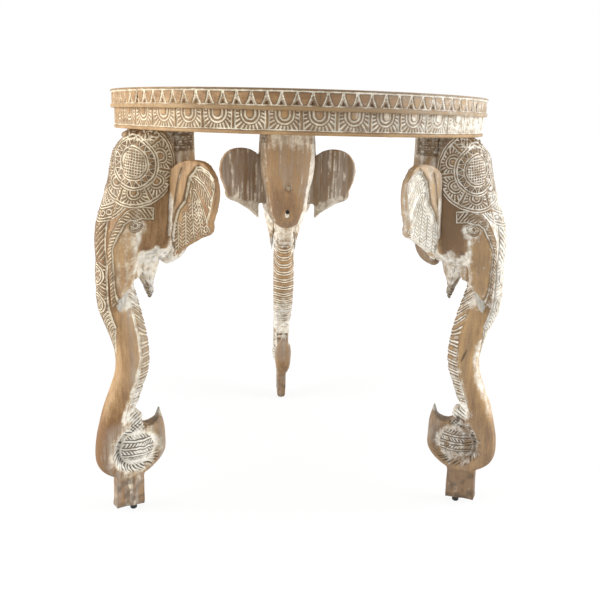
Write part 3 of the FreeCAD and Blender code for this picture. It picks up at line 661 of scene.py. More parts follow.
@dataclass(frozen=True)
class WashedWood:
    """Carved wood, whitewashed and rubbed back so that paint stays in the cuts."""

    name: str
    grain: Grain
    light: Shade = (202, 166, 120)
    dark: Shade = (130, 94, 57)
    light_right: Shade = (190, 156, 110)
    dark_right: Shade = (128, 101, 74)
    # Colour of the dark band beside the cuts: rubbed wood and painted shade.
    rubbed: Shade = (104, 84, 58)
    film: Shade = (188, 178, 164)
    cream: Shade = (245, 233, 207)
    white: Shade = (247, 243, 233)
    thin: Shade = (200, 188, 166)
    # Colour of grime and of painted shade in holes, cuts and hollows.
    shadow: Shade = (56, 49, 40)

    def bare(self, marks: WoodMarks) -> Socket:
        """Colour of the wood where no paint is left.

        Args:
            marks: Noise of the wood.
        Returns:
            The colour.
        """
        desk = marks.desk
        age = desk.weigh((marks.streak, 0.75), (marks.fibre, 0.5), (marks.cloud, 0.55), (marks.fleck, 0.3),
                         (desk.attribute("tone"), 0.6))
        brown = desk.steps(desk.math("MULTIPLY", age, 0.5), (0.44, 0.0), (0.72, 1.0))
        # Warm golden wood on the left, greyer on the right: partly painted light.
        pale = desk.mix(marks.right, paint_colour(self.light), paint_colour(self.light_right))
        aged = desk.mix(marks.right, paint_colour(self.dark), paint_colour(self.dark_right))
        wood = desk.mix(brown, pale, aged)
        # Dark band beside the cuts: rubbed wood and painted shade.
        rubbed = desk.math("MULTIPLY", desk.attribute("edge"), 0.75)
        wood = desk.mix(rubbed, wood, paint_colour(self.rubbed))
        threads = desk.math("MULTIPLY_ADD", marks.fibre, 0.5, marks.streak)
        threads = desk.steps(threads, (0.6, 0.12), (0.92, 1.0))
        hazy = desk.math("MULTIPLY", desk.attribute("haze"), threads)
        return desk.mix(hazy, wood, paint_colour(self.film))

    @staticmethod
    def painted(marks: WoodMarks) -> Socket:
        """Share of the paint that is left in the cuts and as smears on the face.

        Args:
            marks: Noise of the wood.
        Returns:
            The share.
        """
        desk = marks.desk
        groove = desk.math("ADD", desk.attribute("paint"), marks.ragged)
        groove = desk.steps(groove, (0.26, 0.0), (0.7, 1.0))
        smear = desk.weigh((marks.streak, 0.6), (marks.cloud, 0.4), (marks.ragged, 0.75),
                           (desk.attribute("wash"), 1.0), (desk.attribute("edge"), -0.42))
        smear = desk.steps(desk.math("SUBTRACT", smear, 0.5), (0.4, 0.0), (0.82, 1.0))
        return desk.math("MULTIPLY", desk.math("MAXIMUM", groove, smear), 0.93)

    def coat(self, marks: WoodMarks) -> Socket:
        """Colour of the paint, colder where it is thick and darker where it is worn.

        Args:
            marks: Noise of the wood.
        Returns:
            The colour.
        """
        desk = marks.desk
        thick = desk.steps(desk.attribute("wash"), (0.55, 0.0), (0.9, 1.0))
        # Colder white on the right: partly painted light.
        cold = desk.math("MAXIMUM", marks.right, thick)
        paint = desk.mix(cold, paint_colour(self.cream), paint_colour(self.white))
        thinned = desk.steps(marks.worn, (0.4, 0.55), (0.6, 0.0))
        return desk.mix(thinned, paint, paint_colour(self.thin))

    def build(self) -> Material:
        """Makes the material.

        Returns:
            The material, for a mesh with the attributes of a Relief.
        """
        desk = NodeDesk(bpy.data.materials.new(self.name))
        marks = WoodMarks(desk, self.grain)
        white = self.painted(marks)
        colour = desk.mix(white, self.bare(marks), self.coat(marks))
        # Darkening by grime and painted shade.
        dirt_and_shade = desk.math("MULTIPLY", desk.attribute("stain"), 0.92)
        colour = desk.mix(dirt_and_shade, colour, paint_colour(self.shadow))
        gloss = desk.math("ADD", desk.weigh((white, 0.22), (marks.fleck, 0.2)), 0.46)
        height = desk.weigh((marks.fibre, 0.6), (marks.fleck, 0.5))
        bump = desk.add("ShaderNodeBump", {"Strength": 0.4, "Distance": 0.0006, "Height": height})
        shader = desk.add("ShaderNodeBsdfPrincipled", {
            "Base Color": colour, "Roughness": gloss, "Normal": bump.outputs[0],
            "Specular IOR Level": 0.35})
        desk.add("ShaderNodeOutputMaterial", {0: shader.outputs[0]})
        return desk.owner


@dataclass(frozen=True)
class PlainFinish:
    """Finish of a small piece: two colours in a fine grain, with its own gloss."""

    name: str
    first: Shade
    second: Shade
    roughness: float
    metallic: float = 0.0
    scale: float = 500.0
    stretch: Row = (1.0, 1.0, 1.0)
    bump: float = 0.3

    def build(self) -> Material:
        """Makes the material.

        Returns:
            The material.
        """
        desk = NodeDesk(bpy.data.materials.new(self.name))
        place = desk.add("ShaderNodeTexCoord").outputs["Object"]
        run = desk.add("ShaderNodeMapping", {"Vector": place, "Scale": self.stretch}).outputs[0]
        fine = desk.noise(run, self.scale, 4.0, 0.6)
        broad = desk.noise(place, self.scale * 0.12)
        share = desk.steps(desk.weigh((fine, 0.6), (broad, 0.4)), (0.3, 0.0), (0.7, 1.0))
        colour = desk.mix(share, paint_colour(self.first), paint_colour(self.second))
        gloss = desk.math("MULTIPLY_ADD", fine, 0.2, self.roughness - 0.1)
        bump = desk.add("ShaderNodeBump", {"Strength": self.bump, "Distance": 0.0004, "Height": fine})
        shader = desk.add("ShaderNodeBsdfPrincipled", {
            "Base Color": colour, "Roughness": gloss, "Metallic": self.metallic,
            "Normal": bump.outputs[0]})
        desk.add("ShaderNodeOutputMaterial", {0: shader.outputs[0]})
        return desk.owner


@dataclass
class Finishes:
    """Every finish of the table, made once."""

    upright: Material = field(default_factory=WashedWood("washed_wood_upright", Grain.UPRIGHT).build)
    board: Material = field(default_factory=WashedWood("washed_wood_board", Grain.ALONG_BOARD).build)
    ring: Material = field(default_factory=WashedWood("washed_wood_ring", Grain.AROUND).build)
    bare: Material = field(default_factory=PlainFinish(
        "bare_dowel_wood", (196, 156, 108), (158, 116, 74), 0.7, stretch=(1.0, 1.0, 0.15)).build)
    tusk: Material = field(default_factory=PlainFinish(
        "grey_tusk_wood", (224, 219, 208), (108, 101, 90), 0.65, scale=360.0,
        stretch=(1.0, 1.0, 0.14)).build)
    plug: Material = field(default_factory=PlainFinish(
        "washed_plug_wood", (190, 172, 148), (136, 112, 86), 0.7).build)
    steel: Material = field(default_factory=PlainFinish(
        "blackened_steel", (66, 64, 62), (34, 33, 32), 0.5, metallic=0.6, scale=900.0, bump=0.15).build)
    glide: Material = field(default_factory=PlainFinish(
        "black_glide_plastic", (24, 24, 25), (12, 12, 13), 0.5, scale=1500.0, bump=0.12).build)


def whiteness(points: Array) -> Array:
    """How much paint is left round the top: little on the left, much on the right."""
    return ramp(0.0, 0.3, points[:, 0] - 0.2 * points[:, 1])


def crispness(points: Array) -> Array:
    """How dark the rubbed sides of the cuts and their painted shade are: less towards both ends of the
    front.
    """
    return 1.0 - 0.65 * ramp(-0.08, -0.2, points[:, 0]) - 0.3 * ramp(0.08, 0.2, points[:, 0])


def front_middle_shade(points: Array) -> Array:
    """Painted shade on the wood round the top: most in the middle of the front."""
    return np.exp(-(points[:, 0] / 0.12) ** 2) * ramp(0.1, -0.1, points[:, 1])


@dataclass
class Top:
    """Round top of boards with a carved rim."""

    finishes: Finishes
    joints: Row = (-250.0, -150.0, -50.0, 50.0, 150.0, 250.0)
    tall: float = SIZE.top_z - SIZE.top_low
    bead: float = 3.0
    bead_round: float = 0.9
    lip: float = 5.0
    lip_round: float = 1.1
    recess: float = 1.6
    tents: int = 98
    tent_depth: float = 1.2
    turn_step: float = 0.85
    level_step: float = 0.68
    across: int = 26
    end_gap: float = math.radians(0.02)
    face_wash: float = 0.62

    def rim_profile(self, z: Array) -> Array:
        """Radius of the plain rim.

        Args:
            z: Height above the underside.
        Returns:
            Radius at every height.
        """
        neck = self.tall - self.bead
        low = half_round((z - 0.5 * self.lip) / (0.62 * self.lip))
        high = np.clip((z - neck) / self.bead, 0.0, 1.0)
        bead = half_round(2.0 * high - 1.0) * (high > 0)
        band = window(z, (self.lip - 0.4, self.lip + 0.6), (neck + 0.8, neck - 0.2))
        offset = np.where(z < self.lip, -self.lip_round * (1.0 - low), 0.0)
        offset = np.where(z > neck, -self.bead_round * (1.0 - bead), offset)
        return SIZE.top_radius + offset - self.recess * band

    def rim_relief(self, turn: Array, z: Array) -> Relief:
        """Carves the tents between the two beads.

        Args:
            turn: Angle round the axis in radians.
            z: Height above the underside.
        Returns:
            The carved surface.
        """
        wood = Relief(len(turn))
        around = turn * SIZE.top_radius
        around = around + wobble(flat_points(around, z), 22.0, 3, 1.6)
        pitch = 2.0 * math.pi * SIZE.top_radius / self.tents
        x = np.abs(repeat(around, pitch))
        foot, peak = self.lip + 0.8, self.tall - self.bead - 0.6
        rise = np.clip((z - foot) / (peak - foot), -0.2, 1.2)
        share = np.clip(rise, 0.0, 1.0)
        spread = pitch * (0.045 + 0.27 * (1.0 - share) ** 1.6)
        band = window(rise, (-0.06, 0.02), (1.06, 0.98))
        wood.line(x - spread, 1.0, self.tent_depth, band)
        wood.line((rise - 1.07) * 12.0, 1.1, 0.9)
        wood.line((rise + 0.07) * 12.0, 0.9, 0.8, paint=0.5)
        inner = ramp(0.0, -1.2, x - spread) * band
        wood.raise_up(-inner, 0.45)
        wood.paint = np.maximum(wood.paint, 0.36 * inner)
        wedge = ramp(0.6, -0.6, x - pitch * 0.14 * (1.0 - share / 0.36))
        wood.pit(wedge * window(rise, (-0.02, 0.04), (0.36, 0.28)), 1.5, 0.6)
        return wood

    def build(self) -> None:
        """Makes the five boards."""
        levels = np.concatenate([[0.0], np.arange(0.35, self.tall - 0.2, self.level_step), [self.tall]])
        limit = math.pi / 2 - self.end_gap
        for number, (low, high) in enumerate(zip(self.joints[:-1], self.joints[1:]), start=1):
            start = max(math.asin(low / SIZE.top_radius), -limit)
            end = min(math.asin(high / SIZE.top_radius), limit)
            count = int((end - start) * SIZE.top_radius / self.turn_step) + 2
            self.board(number, np.linspace(start, end, count), levels, (low, high))

    def board(self, number: int, turns: Array, levels: Array, joints: Point) -> None:
        """Makes one board as loops across it.

        Args:
            number: Number of the board.
            turns: Angles of the rim points on the right end.
            levels: Heights above the underside.
            joints: Places of the two long edges.
        """
        shape = (len(turns), len(levels))
        right = np.broadcast_to(turns[:, None], shape).ravel()
        z = np.broadcast_to(levels[None, :], shape).ravel()
        ends: List[Array] = []
        reliefs: List[Relief] = []
        for angle in (right, math.pi - right):
            wood = self.rim_relief(angle, z)
            radius = self.rim_profile(z) + wood.height
            spots = np.stack([radius * np.cos(angle), radius * np.sin(angle), z + SIZE.top_low], -1)
            spots[:, 1] = np.clip(spots[:, 1], *joints)
            ends.append(spots.reshape(shape + (3,)))
            reliefs.append(wood)
        rows = self.loops(ends[0], ends[1], joints)
        name = "top_board_%d" % number
        mesh = MeshKit.rings(name, rows * MM)
        faces = {0: (reliefs[0], 1), len(levels) + self.across: (reliefs[1], -1)}
        coat = Relief.on_loops(rows.shape[0], rows.shape[1], faces)
        self.tint(coat, rows, len(levels))
        coat.store(mesh)
        MeshKit.show(name + "_carved", mesh, name, Slot.WOOD, self.finishes.board)

    def loops(self, east: Array, west: Array, joints: Point) -> Array:
        """Closes the two ends of a board to loops with an upper face and an underside.

        Args:
            east: Points of the right end, by angle and height.
            west: Points of the left end, by angle and height.
            joints: Places of the two long edges.
        Returns:
            Points by loop and place in it.
        """
        share = (0.5 - 0.5 * np.cos(np.linspace(0, math.pi, self.across + 2)))[1:-1, None]
        upper = east[:, -1:, :] + (west[:, -1:, :] - east[:, -1:, :]) * share
        lower = west[:, :1, :] + (east[:, :1, :] - west[:, :1, :]) * share
        face = upper.reshape(-1, 3)
        seam = np.minimum(np.abs(face[:, 1] - joints[0]), np.abs(face[:, 1] - joints[1]))
        wear = wobble(face * np.array([0.3, 1.0, 1.0]), 26.0, 8, 0.5)
        face[:, 2] -= np.clip(0.25 + wear, 0.0, 0.5) + 0.45 * cut(seam, 1.2)
        rows = np.concatenate([east, upper, west[:, ::-1, :], lower], axis=1)
        rows[:, :, 1] += SIZE.axis_y
        return rows

    def tint(self, coat: Relief, rows: Array, levels: int) -> None:
        """Spreads whitewash and age over one board.

        Args:
            coat: Finish of the board.
            rows: Points by loop and place in it.
            levels: Number of points up the rim.
        """
        spots = rows.reshape(-1, 3) * MM
        face = np.zeros(rows.shape[:2])
        face[:, levels:levels + self.across] = self.face_wash
        edge = SIZE.top_low + self.lip
        lip = ramp(edge + 0.4, edge - 0.4, rows[:, :, 2].ravel())
        # The lower lip gets more wash here and a lighter tone below: partly its own paler tan, partly
        # painted light against the shade on its downward face.
        coat.wash = np.maximum(0.18 + 0.32 * whiteness(spots) + 0.12 * lip, face.ravel())
        coat.haze = 0.6 * whiteness(spots)
        coat.paint = coat.paint * (0.6 + 0.6 * mottle(spots / MM, 15.0, 9))
        # Painted shade darkens the middle of the front.
        coat.tone = 0.18 + 0.45 * front_middle_shade(spots) * (1.0 - lip) - 0.2 * lip
        coat.edge = coat.edge * crispness(spots)
        coat.stain = coat.stain * crispness(spots)


@dataclass
class Apron:
    """Ring of six carved segments under the top."""

    finishes: Finishes
    segments: int = 6
    arches: int = 7
    arch_depth: float = 1.35
    tall: float = SIZE.top_low - SIZE.apron_low
    lip: float = 4.6
    lip_round: float = 1.3
    recess: float = 1.5
    turn_step: float = 0.7
    level_count: int = 38
    under_gap: float = 0.3
    inner_round: float = 0.6
    flat_radii: Point = (238.0, 230.0)

    def relief(self, around: Array, z: Array) -> Relief:
        """Carves the hanging arches over the plain bottom bead.

        Args:
            around: Run round the ring.
            z: Height above the bottom.
        Returns:
            The carved surface.
        """
        wood = Relief(len(z))
        pitch = 2.0 * math.pi * SIZE.apron_radius / (self.segments * self.arches)
        wander = flat_points(around, z)
        around = around + wobble(wander, 28.0, 5, 1.8)
        z = z + wobble(wander, 16.0, 6, 0.8)
        x = repeat(around - 0.5 * pitch, pitch)
        band = ramp(self.lip + 0.2, self.lip + 1.2, z)
        Arch(0.5 * pitch, self.tall - self.lip, self.arch_depth).carve(wood, x, self.tall - z, band)
        wood.line(z - self.lip - 0.5, 0.9, 0.9, paint=0.8)
        return wood

    def back(self) -> Array:
        """Section of the upper side, inner side and underside, from outside to outside.

        Returns:
            Radius and height above the bottom of each point.
        """
        inner, low, soft = SIZE.apron_inner, self.under_gap, self.inner_round
        above = [(r, self.tall) for r in self.flat_radii + (inner + soft,)]
        inside = [(inner, self.tall - soft), (inner, 0.66 * self.tall), (inner, 0.33 * self.tall)]
        below = [(inner, low + soft)] + [(r, low) for r in (inner + soft,) + self.flat_radii[::-1]]
        return np.array(above + inside + below)

    def build(self) -> None:
        """Makes the six segments."""
        for number in range(1, self.segments + 1):
            self.segment(number)

    def segment(self, number: int) -> None:
        """Makes one segment as loops round its section.

        Args:
            number: Number of the segment.
        """
        angle = 2.0 * math.pi / self.segments
        count = int(angle * SIZE.apron_radius / self.turn_step)
        turns = np.linspace(0.0, angle, count) + (number - 1) * angle
        levels = np.linspace(0.35, self.tall, self.level_count)
        shape = (count, self.level_count)
        around = np.broadcast_to(turns[:, None] * SIZE.apron_radius, shape).ravel()
        z = np.broadcast_to(levels[None, :], shape).ravel()
        wood = self.relief(around, z)
        bead = half_round((z - 0.5 * self.lip) / (0.56 * self.lip))
        radius = SIZE.apron_radius + np.where(z < self.lip, -self.lip_round * (1.0 - bead), 0.0)
        radius = radius - self.recess * ramp(self.lip - 0.5, self.lip + 0.7, z) + wood.height
        outer = np.stack([radius.reshape(shape), z.reshape(shape)], -1)
        back = self.back()
        section = np.concatenate([outer, np.broadcast_to(back, (count,) + back.shape)], axis=1)
        rows = np.stack([section[..., 0] * np.cos(turns)[:, None],
                         section[..., 0] * np.sin(turns)[:, None] + SIZE.axis_y,
                         section[..., 1] + SIZE.apron_low], -1)
        name = "apron_segment_%d" % number
        mesh = MeshKit.rings(name, rows * MM)
        coat = Relief.on_loops(rows.shape[0], rows.shape[1], {0: (wood, 1)})
        self.tint(coat, rows, levels)
        coat.store(mesh)
        MeshKit.show(name + "_carved", mesh, name, Slot.WOOD, self.finishes.ring)

    def tint(self, coat: Relief, rows: Array, levels: Array) -> None:
        """Spreads whitewash and age over one segment.

        Args:
            coat: Finish of the segment.
            rows: Points by loop and place in it.
            levels: Heights of the carved points above the bottom.
        """
        spots = rows.reshape(-1, 3) * MM
        bottom = np.zeros(rows.shape[:2])
        bottom[:, :len(levels)] = ramp(self.lip + 1.0, self.lip, levels)[None, :]
        bottom = bottom.ravel()
        coat.wash = (0.23 + 0.98 * whiteness(spots)) * (1.0 - 0.7 * bottom)
        coat.haze = 0.8 * whiteness(spots) * (1.0 - bottom)
        coat.paint = coat.paint * (0.6 + 0.6 * mottle(spots / MM, 15.0, 10))
        # Painted shade darkens the middle of the front.
        coat.tone = 0.1 + 0.14 * front_middle_shade(spots)
        coat.edge = coat.edge * crispness(spots)


@dataclass(frozen=True)
class LegTone:
    """How one leg was painted and rubbed: shares of paint and age by place."""

    seed: int
    wash: float
    tone: float
    crown: float
    strip: float
    pot: float
    cheek: float
    smoke: float
    under: float
    crisp: float
    flank: float

    @property
    def film(self) -> float:
        """How much thin wash is left on the smooth wood."""
        return min(max(2.2 * self.pot - 1.1, 0.1), 1.0)

    @property
    def caked(self) -> float:
        """How far the paint hides the ground between the lines."""
        return min(max((self.strip - 0.3) / 0.3, 0.0), 1.0)


LEG_TONES = (
    LegTone(seed=11, wash=0.1, tone=-0.1, crown=0.2, strip=0.2, pot=0.85, cheek=0.4, smoke=0.3,
            under=0.0, crisp=0.8, flank=1.0),
    LegTone(seed=23, wash=0.06, tone=-0.1, crown=0.14, strip=0.02, pot=0.95, cheek=0.3, smoke=0.36,
            under=0.95, crisp=0.9, flank=0.0),
    LegTone(seed=37, wash=0.08, tone=-0.05, crown=0.34, strip=0.64, pot=0.56, cheek=0.5, smoke=0.12,
            under=0.4, crisp=0.85, flank=0.0))


@dataclass
class Spots:
    """Points and normals of a leg piece: outward, sideways and up, in millimetres."""

    r: Array
    t: Array
    z: Array
    nr: Array
    nt: Array
    nz: Array

    @classmethod
    def of(cls, points: Array, normals: Array) -> "Spots":
        """Turns points of the first leg in metres, and normals, to the leg's own directions."""
        return cls(points[:, 1] / MM - SIZE.axis_y, -points[:, 0] / MM, points[:, 2] / MM,
                   normals[:, 1], -normals[:, 0], normals[:, 2])

    @classmethod
    def on(cls, mesh: Mesh) -> "Spots":
        """Points and normals of a mesh of the first leg."""
        return cls.of(MeshKit.points(mesh), MeshKit.normals(mesh))

    @property
    def table(self) -> Array:
        """Points, one per row."""
        return np.stack([self.r, self.t, self.z], -1)

    @property
    def side(self) -> float:
        """Side of the leg that the piece lies on, as -1 or 1."""
        return np.sign(np.mean(self.t))

    def drawn(self, share: float) -> Array:
        """Points, one per row, with their heights squeezed, for noise that is drawn out downwards."""
        return np.stack([self.r, self.t, share * self.z], -1)

    def from_point(self, place: Point) -> Array:
        """Distance from a level line at a place and height."""
        return np.hypot(self.r - place[0], self.z - place[1])

    def shift(self) -> Array:
        """Shift of no length for every point."""
        return np.zeros((len(self.r), 3))


@dataclass(frozen=True)
class HeadSkin:
    """Unrolls the skin of the head, from the rear joint to the middle of the front."""

    drops: Row = (0.0, 26.0, 51.0, 81.0, 111.0, 146.0, 191.0, 211.0)
    fronts: Row = (15.0, 37.0, 43.5, 53.0, 61.0, 64.3, 65.0, 64.5)
    widths: Row = (90.0, 92.0, 94.0, 92.0, 86.0, 75.0, 59.0, 53.0)
    powers: Row = (2.6, 2.6, 2.6, 2.7, 3.0, 3.6, 4.0, 4.0)
    samples: int = 24

    def sizes(self, z: Array) -> Tuple[Array, Array, Array]:
        """Half length, half width and squareness of the head at a height.

        Args:
            z: Height above the floor.
        Returns:
            The three sizes.
        """
        long, wide, power = (np.interp(SIZE.apron_low - z, self.drops, row)
                             for row in (self.fronts, self.widths, self.powers))
        return long + SIZE.seat_r - SIZE.joint_r, wide / 2, power

    def run(self, r: Array, t: Array, z: Array) -> Array:
        """Length along the level section, counted on from the rear joint's radius.

        Args:
            r: Distance from the table's axis.
            t: Distance from the middle of the leg.
            z: Height above the floor.
        Returns:
            Unrolled place of every point.
        """
        long, wide, power = (v[:, None] for v in self.sizes(z))
        end = np.arctan2(np.maximum(r - SIZE.joint_r, 0.0) / long[:, 0], np.abs(t) / wide[:, 0])
        turn = end[:, None] * np.linspace(0.0, 1.0, self.samples)
        sine, cosine = np.sin(turn), np.cos(turn)
        grow = (sine ** power + cosine ** power) ** (-1.0 / power)
        steps = np.hypot(np.diff(long * grow * sine), np.diff(wide * grow * cosine))
        return SIZE.joint_r + steps.sum(axis=1)

    def edge(self, z: Array) -> Array:
        """Unrolled place of the seam between cheek and plank.

        Args:
            z: Height above the floor.
        Returns:
            Unrolled place at every height.
        """
        long, wide, power = self.sizes(z)
        side = np.full_like(z, SIZE.half_plank)
        share = (1.0 - (side / wide) ** power) ** (1.0 / power)
        return self.run(SIZE.joint_r + share * long, side, z)

    def spread(self, places: Sequence[Point]) -> List[Point]:
        """Turns outward distance and height of points on the cheek into unrolled ones.

        Args:
            places: Distance from the table's axis and height of each point.
        Returns:
            Unrolled place and height of each point.
        """
        r, z = np.array(places, float).T
        long, wide, power = self.sizes(z)
        share = np.clip((r - SIZE.joint_r) / long, 0.0, 1.0)
        t = wide * (1.0 - share ** power) ** (1.0 / power)
        return list(zip(self.run(r, t, z), z))


@dataclass(frozen=True)
class Disc:
    """Round flower of the headcloth: lattice, triangles and petals."""

    centre: Point = (259.0, 459.5)
    radius: float = 50.0
    rings: Row = (50.0, 46.8, 30.2, 27.2, 19.2, 16.2)
    ring_cut: Point = (1.25, 1.2)
    heart: Point = (15.6, 14.8)
    lattice: float = 3.1
    lattice_lean: float = 0.12
    triangles: int = 18
    triangle_foot: float = 3.4
    triangle_zone: Point = (19.8, 26.4)
    petals: int = 7
    petal_turn: float = math.radians(-92.0)
    petal_middle: float = 38.0
    petal_foot: float = 30.0
    petal_tall: float = 17.0

    def distance(self, q: Array, z: Array) -> Array:
        """Distance from the middle on the unrolled skin."""
        return np.hypot(q - self.centre[0], z - self.centre[1])

    def carve(self, wood: Relief, q: Array, z: Array) -> None:
        """Carves the flower.

        Args:
            wood: Carved surface.
            q: Unrolled place from the rear.
            z: Height above the floor.
        """
        rho = self.distance(q, z)
        turn = np.arctan2(z - self.centre[1], q - self.centre[0])
        wood.raise_up(ramp(self.radius + 1.2, self.radius - 0.6, rho), 0.5)
        for ring in self.rings:
            wood.line(rho - ring, *self.ring_cut)
        heart = ramp(*self.heart, rho)
        for along in (q + self.lattice_lean * z, z - self.lattice_lean * q):
            wood.line(repeat(along, self.lattice), 0.7, 0.8, heart)
        wood.raise_up(heart, 0.6)
        foot, peak = self.triangle_zone
        across = np.abs(repeat(turn, 2.0 * math.pi / self.triangles)) * rho
        slope = across - self.triangle_foot * np.clip((rho - foot) / (peak - foot), 0.0, 1.0)
        zone = window(rho, (foot, foot + 0.8), (peak + 0.4, peak - 0.4))
        wood.line(slope, 0.9, 1.2, zone)
        wood.pit(ramp(-0.4, -1.2, slope) * zone, 1.2, 0.35)
        step = 2.0 * math.pi / self.petals
        petal = repeat(turn - self.petal_turn, step) * self.petal_middle
        foot = self.petal_foot
        zone = window(rho, (foot + 0.8, foot + 1.8), (foot + 16.4, foot + 15.4))
        Arch(0.5 * step * self.petal_middle, self.petal_tall).carve(wood, petal, rho - foot, zone)


@dataclass(frozen=True)
class FrontStrip:
    """Strip down the front: lattice, bowed lines, beads, feathers and two medallions."""

    bow_height: float = 430.0
    bow_flat: float = 0.95
    bows: Row = (22.0, 25.2, 36.5, 39.7)
    bow_end: Point = (383.0, 386.0)
    lattice: float = 5.0
    bead_bow: float = 30.8
    bead_pitch: float = 7.0
    bead_radius: float = 2.7
    border: float = 14.4
    border_top: float = 392.0
    feather: float = 6.6
    feather_end: Point = (343.0, 346.0)
    medallions: Point = (326.0, 291.0)
    medallion_rings: Point = (12.4, 9.4)
    medallion_top: float = 345.0
    heart: float = 4.2
    petal_ring: float = 6.8
    petal_angle: float = 0.78
    grid: float = 4.2
    grid_top: float = 300.0
    hatch: float = 4.6

    def carve(self, wood: Relief, x: Array, z: Array, where: Array) -> None:
        """Carves the strip from the forehead down to its pointed end.

        Args:
            wood: Carved surface.
            x: Unrolled distance from the front's middle.
            z: Height above the floor.
            where: Share of the carving.
        """
        bow = np.hypot(self.bow_flat * x, np.minimum(z - self.bow_height, 0.0))
        high = ramp(*self.bow_end, z) * where
        for line in self.bows:
            wood.line(bow - line, 1.2, 1.2, high)
        cell = ramp(21.2, 20.4, bow) * high
        for along in (x + z, x - z):
            wood.line(repeat(along, self.lattice), 1.1, 0.9, cell)
        around = np.arctan2(x, self.bow_height - z) * self.bead_bow
        bead = np.hypot(repeat(around, self.bead_pitch), bow - self.bead_bow)
        wood.line(bead - self.bead_radius, 1.0, 0.9, high)
        wood.raise_up(ramp(2.4, 1.2, bead) * high, 0.6)
        border = (z < self.border_top) & (x < 24.0)
        wood.line(x - self.border, 1.1, 0.9, border * where, 0.8)
        inner = ramp(14.0, 13.2, x) * where
        feather = ramp(*self.feather_end, z) * ramp(40.9, 42.5, bow) * inner
        wood.line(repeat(z - 0.8 * x - 0.022 * x * x, self.feather), 1.5, 1.4, feather)
        upper, lower = (np.hypot(x, z - height) for height in self.medallions)
        rest = ramp(344.0, 341.0, z) * inner
        for rho in (upper, lower):
            for ring in self.medallion_rings:
                wood.line(rho - ring, 1.1, 1.0, inner * (z < self.medallion_top))
            rest = rest * ramp(13.4, 14.4, rho)
        wood.line(upper - self.heart, 1.0, 0.9, inner)
        turn = repeat(np.arctan2(x, z - self.medallions[0]), self.petal_angle)
        wood.line(np.hypot(turn * 6.6, upper - self.petal_ring) - 1.0, 0.7, 0.7, inner)
        grid = np.maximum(ramp(8.4, 7.6, lower) * inner, rest * (z < self.grid_top))
        for along in (x + z, x - z):
            wood.line(repeat(along, self.grid), 0.9, 0.8, grid)
        wood.line(repeat(z + 0.55 * x, self.hatch), 1.1, 0.9, rest * (z > self.grid_top))


